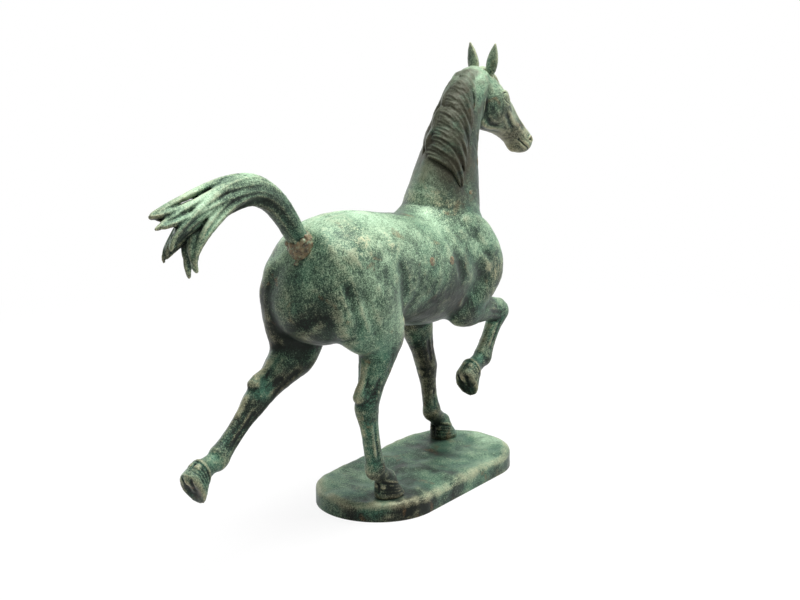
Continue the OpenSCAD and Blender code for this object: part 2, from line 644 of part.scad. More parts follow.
// Core plugs fill the holes of the core's pins, in the barrel and low on the neck's right side
barrel_plug_rows = [7.6, 8.6];
barrel_plug_angle = 14;
neck_plug_rows = [2.9, 3.7];
neck_plug_angle = 208;
module plug(point, out, gap = 0, outside = 0, past = 0) {
    at(point + out * (outside - flush_dip), -out)
        cylinder(d = plug_d + 2 * gap, h = wall + outside + past, $fn = 32);
}
module barrel_plugs(gap = 0, outside = 0, past = 0) {
    for (t = barrel_plug_rows, a = [barrel_plug_angle, 180 - barrel_plug_angle])
        plug(skin_point(trunk_rows, t, LEFT, a), out_at(trunk_rows, t, a), gap, outside, past);
}
module neck_plugs(gap = 0, outside = 0, past = 0) {
    for (t = neck_plug_rows) let (a = neck_plug_angle)
        plug(skin_point(neck_rows, t, LEFT, a), out_at(neck_rows, t, a), gap, outside, past);
}

// Sub-parts

module body_casting() {
    color(BRONZE) difference() {
        cast_skin() difference() {
            union() {
                trunk_form();
                limb_tops();
                neck_stump();
            }
            form(core_rows, sides = 20);
            cut_along(neck_part + neck_axis * (2 * part_slack), -neck_axis, neck_bore_d / 2, neck_bore_len);
        }
        for (p = leg_parts) {
            below_part(p);
            socket(p[0], p[1], leg_tenon_d, leg_tenon_len);
            leg_pin(p, fit_clearance, open_end);
        }
        cut_along(neck_part, neck_axis, neck_cut_r, 2 * part_slack);
        socket(neck_part, neck_axis, neck_spigot_d, neck_spigot_len);
        for (side = [-1, 1]) neck_pin(side, fit_clearance, open_end);
        socket(tail_seat, tail_axis, tail_tenon_d, tail_tenon_len);
        tail_pin_form(fit_clearance, open_end);
        barrel_plugs(fit_clearance, open_end, wall);
    }
}

module neck_casting() {
    color(BRONZE) difference() {
        union() {
            difference() {
                cast_skin() neck_form();
                cut_along(neck_part, -neck_axis, neck_cut_r, far);
                cut_along(head_part, head_axis, neck_cut_r, far);
            }
            tenon(neck_part, neck_axis, neck_spigot_d, neck_spigot_len);
        }
        at(neck_part - neck_axis * (neck_spigot_len + 1), neck_axis)
            cylinder(d = neck_bore_d, h = neck_spigot_len + neck_len * 0.30, $fn = 48);
        for (side = [-1, 1]) neck_pin(side, fit_clearance, open_end);
        socket(head_part, head_axis, head_tenon_d, head_tenon_len);
        head_pin_form(fit_clearance, open_end);
        for (share = dowel_shares) mane_dowel(share, fit_clearance);
        neck_plugs(fit_clearance, open_end, neck_w * 0.2);
    }
}

module head_casting() {
    color(BRONZE) difference() {
        union() {
            intersection() {
                cast_skin() { head_form(); neck_form(); }
                cut_along(head_part, head_axis, neck_cut_r, far);
            }
            tenon(head_part, head_axis, head_tenon_d, head_tenon_len);
        }
        head_pin_form(fit_clearance, open_end);
        for (side = [-1, 1]) ear_tenon(side, fit_clearance);
        all_dowels(fit_clearance);
    }
}

module ear(side) {
    color(BRONZE) union() {
        cast_skin() difference() { ear_form(side); head_form(); }
        ear_tenon(side);
    }
}
module left_ear() { ear(1); }
module right_ear() { ear(-1); }

module mane_casting() {
    color(BRONZE) difference() {
        mane_form();
        for (share = dowel_shares) mane_dowel(share, fit_clearance);
    }
}

module forelock_casting() {
    color(BRONZE) difference() {
        cast_skin() difference() { forelock_form(); head_form(); neck_form(); }
        forelock_dowel(fit_clearance);
    }
}

module tail_casting() {
    color(BRONZE) difference() {
        union() {
            cast_skin() difference() { tail_form(); trunk_form(); }
            tenon(tail_seat, tail_axis, tail_tenon_d, tail_tenon_len);
        }
        tail_pin_form(fit_clearance);
    }
}

// A lumpy bead that fills the corner between tail and croup
braze_profile = [[-0.5, 0.7], [-0.1, 1.0], [0.08, 0.8], [0.2, 0.3], [0.28, -0.2]];
module tail_braze() {
    rows = [for (p = braze_profile)
        let (r = tail_w * 0.31 + braze_t * p[1]) concat(tail_seat + tail_axis * (p[0] * tail_w), [r, r, r])];
    color(PIN_BRONZE) difference() {
        cast_skin() difference() {
            form(rows);
            trunk_form();
            tail_form();
        }
        tail_pin_form(fit_clearance, open_end);
    }
}

module leg(p, studded, sole) {
    color(BRONZE) difference() {
        union() {
            difference() {
                cast_skin() children();
                above_part(p);
            }
            tenon(p[0], p[1], leg_tenon_d, leg_tenon_len);
        }
        leg_pin(p, fit_clearance);
        if (studded) stud(sole, fit_clearance);
    }
}
module right_hind_leg() { leg(planted_hind_part, true, hind_sole) hind_leg_form(planted_hind, planted_turn); }
module left_hind_leg() { leg(trailing_hind_part, false) hind_leg_form(trailing_hind, trailing_turn); }
module left_foreleg() { leg(planted_fore_part, true, fore_sole) foreleg_form(planted_fore, planted_turn); }
module right_foreleg() { leg(lifted_fore_part, false) foreleg_form(lifted_fore, lifted_turn); }

module neck_pins() { color(PIN_BRONZE) for (side = [-1, 1]) neck_pin(side); }
module head_pin() { color(PIN_BRONZE) head_pin_form(); }
module hind_leg_pins() { color(PIN_BRONZE) for (p = [planted_hind_part, trailing_hind_part]) leg_pin(p); }
module foreleg_pins() { color(PIN_BRONZE) for (p = [planted_fore_part, lifted_fore_part]) leg_pin(p); }
module tail_pin() { color(PIN_BRONZE) tail_pin_form(); }
module hair_dowels() { color(PIN_BRONZE) all_dowels(); }
module core_plugs() {
    color(PIN_BRONZE) {
        barrel_plugs();
        neck_plugs();
    }
}

// Each stud runs from inside a hoof, through the plate, to a washer and nut sunk in the underside
stud_in_hoof = hoof_h * 0.75;
nut_inset = 1;
recess_d = washer_d + 4;
recess_h = nut_inset + nut_t + washer_t;
soles = [hind_sole, fore_sole];
module stud(sole, gap = 0) {
    translate([sole[0], sole[1], nut_inset - gap])
        cylinder(d = stud_d + 2 * gap, h = plate_t + stud_in_hoof - nut_inset + 2 * gap, $fn = 32);
}
module hind_hoof_stud() { color(STEEL) stud(hind_sole); }
module fore_hoof_stud() { color(STEEL) stud(fore_sole); }
module plate_washers() {
    color(STEEL) for (s = soles) translate([s[0], s[1], nut_inset + nut_t]) difference() {
        cylinder(d = washer_d, h = washer_t, $fn = 48);
        translate([0, 0, -1]) cylinder(d = stud_d + 2 * fit_clearance, h = washer_t + 2, $fn = 32);
    }
}
module plate_nuts() {
    color(STEEL) for (s = soles) translate([s[0], s[1], nut_inset]) difference() {
        cylinder(d = nut_flats / cos(30), h = nut_t, $fn = 6);
        translate([0, 0, -1]) cylinder(d = stud_d + 2 * fit_clearance, h = nut_t + 2, $fn = 32);
    }
}

// The plate is a stadium with a rounded upper edge
plate_r = hind_y + hoof_w / 2 + plate_side_margin;
plate_half_len = (fore_stance - hind_stance) / 2 + hoof_len / 2 + plate_end_margin;
plate_straight = plate_half_len - plate_r;
module plate_half_section() {
    square([plate_r, plate_t - plate_edge_r]);
    square([plate_r - plate_edge_r, plate_t]);
    translate([plate_r - plate_edge_r, plate_t - plate_edge_r]) circle(plate_edge_r, $fn = 48);
}
module ground_plate() {
    color(BRONZE) difference() {
        union() {
            for (end = [-1, 1]) translate([end * plate_straight, 0, 0])
                rotate_extrude($fn = 96) plate_half_section();
            translate([-plate_straight, 0, 0]) rotate([90, 0, 90]) linear_extrude(2 * plate_straight) {
                plate_half_section();
                mirror([1, 0]) plate_half_section();
            }
        }
        for (s = soles) {
            translate([s[0], s[1], -1]) cylinder(d = recess_d, h = recess_h + 1, $fn = 64);
            translate([s[0], s[1], 0]) cylinder(d = stud_d + 2 * fit_clearance, h = plate_t + 1, $fn = 32);
        }
    }
}

body_casting();
neck_casting();
head_casting();
left_ear();
right_ear();
mane_casting();
forelock_casting();
tail_casting();
tail_braze();
left_foreleg();
right_foreleg();
left_hind_leg();
right_hind_leg();
neck_pins();
head_pin();
foreleg_pins();
hind_leg_pins();
tail_pin();
hair_dowels();
core_plugs();
hind_hoof_stud();
fore_hoof_stud();
plate_washers();
plate_nuts();
ground_plate();
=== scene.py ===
"""Looks of a cast bronze statuette: a trotting horse on an oval ground plate.

+X is the way the horse goes, +Y its left side and +Z up.
Sculpting is done in millimetres, and the scene is in metres.
"""

import math
from types import SimpleNamespace

import bmesh
import bpy
import numpy as np
from mathutils import Matrix, Vector
from mathutils.bvhtree import BVHTree


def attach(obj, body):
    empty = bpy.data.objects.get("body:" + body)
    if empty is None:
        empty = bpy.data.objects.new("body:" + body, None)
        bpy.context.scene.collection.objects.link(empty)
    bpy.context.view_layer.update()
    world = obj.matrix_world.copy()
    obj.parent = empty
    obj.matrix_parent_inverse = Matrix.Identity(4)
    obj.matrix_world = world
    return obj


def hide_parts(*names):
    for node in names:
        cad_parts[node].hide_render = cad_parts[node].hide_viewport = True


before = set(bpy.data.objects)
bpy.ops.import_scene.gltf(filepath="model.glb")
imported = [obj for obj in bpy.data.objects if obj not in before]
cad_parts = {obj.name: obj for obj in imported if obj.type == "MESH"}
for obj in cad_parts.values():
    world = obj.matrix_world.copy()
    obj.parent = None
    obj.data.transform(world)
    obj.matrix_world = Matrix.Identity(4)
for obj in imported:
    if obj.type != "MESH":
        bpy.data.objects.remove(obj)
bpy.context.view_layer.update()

MM = 0.001
SKIN_VOXEL = 1.0
HAIR_VOXEL = 0.55
PLATE_VOXEL = 1.15
EAR_VOXEL, BRAZE_VOXEL = 0.4, 0.45
LEFT, RIGHT = 1, -1


# Skeleton, in millimetres, as the castings were laid out


def limb(start, lengths, leans):
    """The joints of a limb; a lean is counted forward of straight down"""
    joints = [Vector(start)]
    for length, lean in zip(lengths, leans):
        turn = math.radians(lean)
        joints.append(joints[-1] + Vector((math.sin(turn), 0, -math.cos(turn))) * length)
    return joints


HIP = Vector((-98.6, 0, 162.65))
ELBOW = Vector((21.4, 0, 120.2))
HIND_Y, FORE_Y = 21, 18
HIND_LENGTHS = (47, 48, 46, 16)
FORE_LENGTHS = (51, 37, 16)
planted_hind = limb(HIP + Vector((0, -HIND_Y, 0)), HIND_LENGTHS, (38, -22, 12, 46))
trailing_hind = limb(HIP + Vector((0, HIND_Y, 0)), HIND_LENGTHS, (-8, -60, -52, -78))
planted_fore = limb(ELBOW + Vector((0, FORE_Y, 0)), FORE_LENGTHS, (20, 12, 46))
lifted_fore = limb(ELBOW + Vector((8.4, -FORE_Y, 5.3)), FORE_LENGTHS, (74, -34, -70))
PART_SHARE = 0.45


def parting(joints, first):
    """Where a leg parts from the trunk, and the way down the leg"""
    along = joints[first + 1] - joints[first]
    return joints[first] + along * PART_SHARE, along.normalized()


# Each leg: its joints, the bone on which it parts from the trunk, and its hoof's turn in degrees
LEGS = {
    "right_hind_leg": (planted_hind, 1, 0),
    "left_hind_leg": (trailing_hind, 1, 62),
    "left_foreleg": (planted_fore, 0, 0),
    "right_foreleg": (lifted_fore, 0, 58),
}
partings = {name: parting(joints, first) for name, (joints, first, _) in LEGS.items()}

# Where the neck and the head part from what carries them, and the way across each parting
NECK_PART = (Vector((35.3, 0, 210.7)), Vector((0.284, 0, 0.959)))
HEAD_PART = (Vector((54.0, 0, 258.1)), Vector((0.966, 0, 0.259)))
NECK_LINE = [Vector(p) for p in (
    (19, 0, 161.6), (26.4, 0, 183.9), (33.9, 0, 206.2), (40.7, 0, 228.6), (49.4, 0, 249.6), (59.9, 0, 267),
    (71, 0, 276.9), (77, 0, 281))]
HEAD_LEN = 74
POLL = Vector((72.95, 0, 273.8))
HEAD_TURN, HEAD_DROP = math.radians(-10), math.radians(40)
on_head = Matrix.Translation(POLL) @ Matrix.Rotation(HEAD_TURN, 4, "Z") @ Matrix.Rotation(HEAD_DROP, 4, "Y")
MUZZLE = on_head @ Vector((HEAD_LEN, 0, 0))
TAIL_LINE = [Vector(p) for p in (
    (-118.2, 0, 178.4), (-129.2, 0, 194.2), (-140.2, 0, 208.9), (-153.6, 0, 221.7), (-170.7, 0, 229.6),
    (-190.2, 0, 230.8), (-209.7, 0, 227.8), (-228, 0, 222.9), (-242.6, 0, 219.2), (-252.4, 0, 217.4))]


# Meshes


def copied(*names):
    """A merged copy of CAD nodes, as one bmesh"""
    shape = bmesh.new()
    for name in names:
        shape.from_mesh(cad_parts[name].data)
    bmesh.ops.remove_doubles(shape, verts=shape.verts, dist=0.001 * MM)
    return shape


def baked(shape):
    """The mesh of a bmesh, which is used up"""
    mesh = bpy.data.meshes.new("shape")
    shape.to_mesh(mesh)
    shape.free()
    return mesh


def opened(mesh):
    """A bmesh of a mesh"""
    shape = bmesh.new()
    shape.from_mesh(mesh)
    return shape


def evaluated(maker):
    """The mesh that an object's modifiers and bevels make; the object is used up"""
    bpy.context.scene.collection.objects.link(maker)
    ready = maker.evaluated_get(bpy.context.evaluated_depsgraph_get())
    mesh = bpy.data.meshes.new_from_object(ready)
    bpy.data.objects.remove(maker)
    return mesh


def ray_target(shape):
    """What rays in millimetres hit on a bmesh, which is used up"""
    bmesh.ops.scale(shape, vec=(1 / MM,) * 3, verts=shape.verts)
    target = BVHTree.FromBMesh(shape)
    shape.free()
    return target


def islands(shape):
    """The connected parts of a bmesh, as lists of vertices"""
    found, seen = [], set()
    for seed in shape.verts:
        if seed in seen:
            continue
        seen.add(seed)
        group = [seed]
        for vert in group:
            for edge in vert.link_edges:
                other = edge.other_vert(vert)
                if other not in seen:
                    seen.add(other)
                    group.append(other)
        found.append(group)
    return found


def even_skin(shape, voxel):
    """One closed skin of even quads round everything in a bmesh"""
    maker = bpy.data.objects.new("maker", baked(shape))
    remesh = maker.modifiers.new("even", "REMESH")
    remesh.mode = "VOXEL"
    remesh.voxel_size = voxel * MM
    skin = opened(evaluated(maker))
    parts = sorted(islands(skin), key=len)
    bmesh.ops.delete(skin, geom=[v for part in parts[:-1] for v in part], context="VERTS")
    return Skin(baked(skin))


def sharp_rims(shape):
    """The open edges of a bmesh, marked as sharp"""
    rims = [e for e in shape.edges if e.is_boundary]
    for edge in rims:
        edge.smooth = False
    return rims


def smoothstep(low, high, values):
    share = np.clip((values - low) / (high - low), 0, 1)
    return share * share * (3 - 2 * share)


def from_line(points, line):
    """How far points lie from a line, and how far along it they are, from 0 to 1"""
    best = np.full(len(points), np.inf)
    along = np.zeros(len(points))
    for k, (p, q) in enumerate(zip(line[:-1], line[1:])):
        way = q - p
        share = np.clip((points - p) @ way / max(way @ way, 1e-9), 0, 1)
        gap = np.linalg.norm(points - p - share[:, None] * way, axis=1)
        closer = gap < best
        best[closer] = gap[closer]
        along[closer] = (k + share[closer]) / (len(line) - 1)
    return best, along


def as_array(line):
    return np.array([tuple(p) for p in line])


class Skin:
    """A mesh whose points, in millimetres, are pushed and smoothed as one array"""

    def __init__(self, mesh):
        self.mesh = mesh
        count = len(mesh.vertices)
        flat = np.empty(count * 3)
        mesh.vertices.foreach_get("co", flat)
        self.points = flat.reshape(-1, 3) / MM
        ends = np.empty(len(mesh.edges) * 2, dtype=np.int32)
        mesh.edges.foreach_get("vertices", ends)
        self.ends = ends.reshape(-1, 2)
        self.degree = np.maximum(np.bincount(ends, minlength=count), 1)[:, None]
        self.normals()

    def normals(self):
        """The ways out of the skin, which strokes use until they are next asked for"""
        self.mesh.vertices.foreach_set("co", (self.points * MM).ravel())
        self.mesh.update()
        flat = np.empty(len(self.points) * 3)
        self.mesh.vertex_normals.foreach_get("vector", flat)
        self.ways = flat.reshape(-1, 3)
        return self.ways

    def spread(self, values, rounds):
        """Values averaged with their neighbours"""
        a, b = self.ends.T
        count = len(values)
        for _ in range(rounds):
            sums = [np.bincount(a, v[b], count) + np.bincount(b, v[a], count) for v in values.T]
            values = 0.5 * values + 0.5 * np.stack(sums, 1) / self.degree
        return values

    def sunk(self, rounds):
        """How deep points lie under the even run of the skin round them"""
        return ((self.spread(self.points, rounds) - self.points) * self.ways).sum(1)

    def relax(self, rounds, share=1.0, returns=3):
        """Takes out facets and ridges and gives back what thin limbs would lose"""
        rest, result = self.points, 0
        for _ in range(returns):
            even = self.spread(rest, rounds)
            result, rest = result + even, rest - even
        self.points = self.points + share * (result - self.points)

    def fill(self, rounds, share=1.0):
        """Fills sharp hollows as filed solder would, and leaves what stands out"""
        self.normals()
        self.points += self.ways * (np.maximum(self.sunk(rounds), 0) * share)[:, None]

    def hits(self):
        self.normals()
        return ray_target(opened(self.mesh))

    def gap(self, spot, stretch=(1, 1, 1)):
        """How far points are from a spot"""
        return np.linalg.norm((self.points - np.array(spot)) * stretch, axis=1)

    def near(self, spot, inner, outer, stretch=(1, 1, 1)):
        """1 for points nearer to a spot than the inner distance, 0 past the outer one"""
        return 1 - smoothstep(inner, outer, self.gap(spot, stretch))

    def reach(self, line, width):
        """Which points lie near a line, how far from it and how far along, from 0 to 1"""
        line = as_array(line)
        near = np.all((self.points > line.min(0) - width) & (self.points < line.max(0) + width), axis=1)
        index = np.flatnonzero(near)
        gap, along = from_line(self.points[index], line)
        inside = gap < width
        return index[inside], gap[inside], along[inside]

    def stroke(self, line, width, height, taper=True):
        """Raises a ridge along a line, or cuts a groove with a negative height"""
        index, gap, along = self.reach(line, width)
        press = (1 - (gap / width) ** 2) ** 2
        if taper:
            press *= np.clip(np.minimum(along, 1 - along) * 5, 0.15, 1)
        self.points[index] += self.ways[index] * (press * height)[:, None]

    def swell(self, middle, width, height):
        """Raises a mound round a point, or a dip with a negative height"""
        self.stroke([middle, middle + Vector((0.01, 0, 0))], width, height, taper=False)


def on_curve(points, t):
    """A point of the smooth curve through a few points, with t counted in points"""
    last = len(points) - 1
    i = min(max(int(t), 0), last - 1)
    f = t - i
    a, b, c, d = (points[min(max(i + j, 0), last)] for j in (-1, 0, 1, 2))
    bend = (2 * a - 5 * b + 4 * c - d) * f * f + (3 * b - a - 3 * c + d) * f * f * f
    return 0.5 * (2 * b + (c - a) * f + bend)


def curve_through(points, count):
    """Points evenly spread on such a curve"""
    return [on_curve(points, (len(points) - 1) * k / (count - 1)) for k in range(count)]


def way_along(points, t, step):
    """The way that such a curve goes"""
    return (on_curve(points, t + step) - on_curve(points, t - step)).normalized()


def turns_about(axis, count):
    """Even turns about an axis, from none to nearly a full one"""
    return [Matrix.Rotation(math.radians(360 / count * k), 3, axis) for k in range(count)]


WAVES = 14


def ripple(points, size, seed):
    """Soft unevenness of a given size, mostly between -1 and 1"""
    chance = np.random.default_rng(seed)
    total = 0
    for _ in range(WAVES):
        way = chance.normal(size=3)
        way *= 2 * math.pi / size / np.linalg.norm(way) * chance.uniform(0.7, 1.4)
        total = total + np.sin(points @ way + chance.uniform(0, 2 * math.pi))
    return total / WAVES ** 0.5


def roughen(skin, size, height, seed, share=1.0):
    skin.points += skin.normals() * (ripple(skin.points, size, seed) * height * share)[:, None]


# How wide the hollows and folds are that the patina settles in
HOLLOW_REACH, FOLD_REACH = 2.8, 9
# How deep a full hollow is, on large and on small castings
SKIN_RELIEF, FINE_RELIEF = 0.3, 0.7


def weather(skin, voxel, relief=SKIN_RELIEF, finer_share=None):
    """Keeps how hollow, how folded and how skyward each point is, for the patina and for the painted light
    on faces that look up
    """
    normals = skin.normals()

    def sunk(reach, edge):
        return skin.sunk(max(int((reach / edge) ** 2), 1))

    hollow, fold = sunk(HOLLOW_REACH, voxel), sunk(FOLD_REACH, voxel)
    if finer_share is not None:
        hollow += finer_share * (sunk(HOLLOW_REACH, voxel / 2) - hollow)
    marks = {
        "hollow": np.tanh(hollow / relief),
        "fold": np.tanh(fold / relief / 5),
        "skyward": normals[:, 2],
    }
    for name, values in marks.items():
        kept = skin.mesh.attributes.new(name, "FLOAT", "POINT")
        kept.data.foreach_set("value", values)


# Finishes


class Tone:
    """A shader socket that can stand in a sum"""

    tree = None

    def __init__(self, socket):
        self.socket = socket

    @classmethod
    def node(cls, kind, settings=None, inputs=None, out=0):
        """Any node: its type, its settings, and the values or links of its sockets"""
        made = cls.tree.nodes.new(kind)
        for key, value in (settings or {}).items():
            setattr(made, key, value)
        for key, value in (inputs or {}).items():
            if isinstance(value, Tone):
                cls.tree.links.new(value.socket, made.inputs[key])
            else:
                made.inputs[key].default_value = value
        return cls(made.outputs[out])

    @classmethod
    def parts(cls, vector):
        made = cls.node("ShaderNodeSeparateXYZ", None, {0: vector}).socket.node
        return [cls(socket) for socket in made.outputs]

    @classmethod
    def sum(cls, operation, *values):
        return cls.node("ShaderNodeMath", {"operation": operation}, dict(enumerate(values)))

    def __add__(self, other):
        return Tone.sum("ADD", self, other)

    def __radd__(self, other):
        return Tone.sum("ADD", other, self)

    def __sub__(self, other):
        return Tone.sum("SUBTRACT", self, other)

    def __rsub__(self, other):
        return Tone.sum("SUBTRACT", other, self)

    def __mul__(self, other):
        return Tone.sum("MULTIPLY", self, other)

    def __rmul__(self, other):
        return Tone.sum("MULTIPLY", other, self)


def start_finish(name):
    """A new material, its shader and the place on the piece"""
    material = bpy.data.materials.new(name)
    material.use_nodes = True
    Tone.tree = material.node_tree
    shader = material.node_tree.nodes["Principled BSDF"]
    return material, shader, Tone.node("ShaderNodeTexCoord", out="Object")


def feed(shader, **sockets):
    """Sets or links a shader's sockets, which are named in small letters"""
    for name, value in sockets.items():
        target = shader.inputs[name.replace("_", " ").title().replace("Ior", "IOR")]
        if isinstance(value, Tone):
            Tone.tree.links.new(value.socket, target)
        else:
            target.default_value = value


def cloud(place, size, detail=3, rough=0.55, twist=0.0):
    """Noise whose features are about a size in millimetres"""
    return Tone.node("ShaderNodeTexNoise", None, {
        "Vector": place,
        "Scale": 1 / (size * MM),
        "Detail": detail,
        "Roughness": rough,
        "Distortion": twist,
    })


def stretched(place, x, y, z, turn=0.0):
    """A place scaled along each axis and turned about Y"""
    return Tone.node("ShaderNodeMapping", None, {
        "Vector": place, "Scale": (x, y, z), "Rotation": (0, turn, 0)})


def mark(name):
    """What the mesh keeps at each point under a name"""
    return Tone.node("ShaderNodeAttribute", {"attribute_name": name}, out="Fac")


def over(value, low, high):
    """A soft mask where a value passes from low to high"""
    return Tone.node("ShaderNodeMapRange", {"interpolation_type": "SMOOTHSTEP"}, {
        "Value": value, "From Min": low, "From Max": high})


def mixed(mask, below, above):
    return Tone.node("ShaderNodeMix", {"data_type": "RGBA"}, {0: mask, 6: below, 7: above}, out=2)


def bumped(height, depth, normal=None):
    """Relief of a depth in millimetres, on top of another normal if one is given"""
    inputs = {"Height": height, "Distance": depth * MM, "Strength": 1.0}
    if normal is not None:
        inputs["Normal"] = normal
    return Tone.node("ShaderNodeBump", None, inputs)


def srgb(*screen):
    """A colour given by a screen's red, green and blue from 11 to 255, made linear"""
    return (*(((c / 255 + 0.055) / 1.055) ** 2.4 for c in screen), 1.0)


NEAR_BLACK = srgb(21, 25, 21)
DEEP_GREEN = srgb(43, 60, 50)
TEAL = srgb(60, 102, 83)
SAGE = srgb(118, 142, 113)
# The pale bloom, made paler in part as painted light on faces that look up
MINT_AND_TOP_LIGHT = srgb(172, 200, 172)
STONE = srgb(144, 140, 114)
TAN = srgb(190, 174, 138)
BROWN = srgb(112, 82, 52)
# Dark brown for the neck's crest, dark in part as painted shade
UMBER_AND_SHADE = srgb(45, 41, 31)
BRAZE_DARK, BRAZE_LIGHT, BRAZE_GRAIN = srgb(56, 48, 35), srgb(116, 99, 70), srgb(160, 162, 136)
STEEL_BRIGHT, STEEL_DULL = srgb(150, 152, 154), srgb(118, 118, 116)
DUST = (0.75, 0.95, 0.82, 1)

# High points that hands rub, as x and z on a side view and how far the rubbing goes, in millimetres
RUBBED = [(-76, 187, 16), (-60, 135, 15), (47, 150, 16), (6, 196, 14), (-100, 192, 15)]


def rubbed_spots(place):
    """How much hands have rubbed a place, alike on both sides"""
    profile = stretched(place, 1, 0, 1)
    rubbed = 0
    for x, z, reach in RUBBED:
        gap = Tone.node("ShaderNodeVectorMath", {"operation": "DISTANCE"}, {
            0: profile, 1: (x * MM, 0, z * MM)}, out="Value")
        rubbed = rubbed + (1 - over(gap, 0, reach * MM))
    return rubbed


def patina_grain(place):
    """What lays out the patina: noises round zero, marks of the shape, and how far it has formed, with
    painted light on faces that look up and painted shade on low parts
    """
    grain = SimpleNamespace(place=place)
    grain.x, _, grain.z = Tone.parts(place)
    grain.hollow, grain.fold, skyward = mark("hollow"), mark("fold"), mark("skyward")
    drift = cloud(place, 50, 3, 0.5, 0.6) - 0.5
    grain.patch = cloud(place, 12, 3, 0.5, 0.5) - 0.5
    along = cloud(stretched(place, 0.35, 1, 0.8, 0.3), 1.4, 3, 0.6, 0.4)
    down = cloud(stretched(place, 1, 0.9, 0.3, 0.2), 1.4, 3, 0.6, 0.4)
    grain.brushed = mixed(over(cloud(place, 24, 2), 0.42, 0.58), along, down) - 0.5
    grain.speck = cloud(place, 0.8, 3, 0.65) - 0.5
    grain.fleck = cloud(place, 0.5, 2, 0.5)
    grain.fine = grain.speck * 1.25 + grain.brushed * 0.55
    # Low parts, the legs and the plate, are darkened as painted shade, and turned more teal
    grain.low = 1 - over(grain.z, 0.090, 0.150)
    shelter = grain.hollow * 0.6 + grain.fold * 0.5
    # Faces that look up are paler, partly from patina dust and partly as painted light from above
    spread = drift * 1.15 + grain.patch * 0.45 + skyward * 0.22
    # So growth holds the patina together with painted light on top and painted shade low down
    grain.growth = spread - shelter * 0.24 - grain.low * 0.16 + 0.04
    return grain


def verdigris_and_shading(grain):
    """From dark metal through green to a pale bloom, as the patina grows; paler where painted light falls on
    faces that look up, darker where painted shade lies low
    """
    grown_and_shading = grain.growth + grain.fine
    colour = mixed(over(grain.growth + grain.fine * 0.5, -0.26, 0.14), NEAR_BLACK, DEEP_GREEN)
    teal = over(grown_and_shading + (cloud(grain.place, 20, 2) - 0.5) * 1.2 + grain.low * 0.22, 0.0, 0.5)
    colour = mixed(teal * 0.75, colour, TEAL)
    colour = mixed(over(grown_and_shading, -0.04, 0.42) * 0.85, colour, SAGE)
    return mixed(over(grown_and_shading, 0.18, 0.70) * 0.80, colour, MINT_AND_TOP_LIGHT)


def worn(colour, grain):
    """Wear on what stands out, flecks, stains and dirt in the hollows"""
    hollow, fold, fine = grain.hollow, grain.fold, grain.fine
    bare = over(fine * 0.6 + grain.patch * 0.6 - hollow * 0.35 - fold * 0.30, 0.06, 0.50)
    colour = mixed(bare * 0.60, colour, STONE)
    colour = mixed(over(fine - hollow * 0.35 - fold * 0.1, 0.30, 0.60) * 0.55, colour, TAN)
    colour = mixed(over(grain.fleck, 0.60, 0.72) * 0.55, colour, NEAR_BLACK)
    stain = over(cloud(grain.place, 17, 4, 0.6, 0.6), 0.60, 0.72) * over(grain.speck, -0.12, 0.10)
    colour = mixed(stain * 0.65, colour, BROWN)
    return mixed(over(hollow + grain.speck * 0.4, 0.15, 0.75) * 0.75, colour, NEAR_BLACK)


def handled_and_shaded(colour, grain):
    """A crest darkened with umber and with painted shade, a pale face, and tan where hands rub"""
    x, z, patch, hollow = grain.x, grain.z, grain.patch, grain.hollow
    lean = NECK_PART[1]
    up_neck, to_crest = x * lean.x + z * lean.z, z * lean.x - x * lean.z
    # The crest and back of the neck: brown in part, and in part painted shade where that side turns from the
    # light
    crest = over(up_neck, 0.180, 0.214) * over(to_crest + patch * 0.08, 0.002, 0.040) * over(x, -0.02, 0.02)
    colour = mixed(crest * over(patch + grain.fine * 0.5, -0.34, 0.02) * 0.88, colour, UMBER_AND_SHADE)
    face = over(x, 0.070, 0.098) * over(z, 0.205, 0.225)
    colour = mixed(face * over(grain.fine + patch - hollow * 0.6, -0.30, 0.30) * 0.50, colour, STONE)
    streaks = over(grain.brushed + grain.speck * 0.8 + patch * 0.5 - hollow * 0.4, -0.05, 0.40)
    colour = mixed(rubbed_spots(grain.place) * streaks * 0.60, colour, TAN)
    nose = over(x, 0.100, 0.132) * over(grain.fine + patch - hollow * 0.5, -0.04, 0.36)
    return mixed(nose * 0.22, colour, TAN)


def patinated_bronze():
    material, shader, place = start_finish("patinated_bronze")
    grain = patina_grain(place)
    broad = bumped(grain.patch * 0.5 + grain.brushed * 0.5, 0.25)
    feed(shader,
         base_color=handled_and_shaded(worn(verdigris_and_shading(grain), grain), grain),
         roughness=0.46 + grain.growth * 0.15 + grain.speck * 0.25,
         metallic=0.45 - over(grain.growth + grain.fine, -0.1, 0.3) * 0.35,
         normal=bumped(grain.speck * 0.6 + grain.fleck * 0.4, 0.08, broad),
         specular_ior_level=0.15,
         sheen_weight=0.10,
         sheen_roughness=0.40,
         sheen_tint=DUST)
    return material


def filler_bronze():
    material, shader, place = start_finish("filler_bronze")
    grain = cloud(place, 1.1, 4, 0.6)
    patch = cloud(place, 3.2, 4, 0.6, 0.5)
    colour = mixed(over(patch, 0.36, 0.64), BRAZE_DARK, BRAZE_LIGHT)
    colour = mixed(over(cloud(place, 2.2, 4, 0.65, 0.6), 0.50, 0.66) * 0.75, colour, SAGE)
    feed(shader,
         base_color=mixed(over(grain, 0.54, 0.70) * 0.45, colour, BRAZE_GRAIN),
         roughness=0.42 + grain * 0.25,
         metallic=0.45 - patch * 0.3,
         normal=bumped(grain * 0.5 + patch * 0.5, 0.25))
    return material


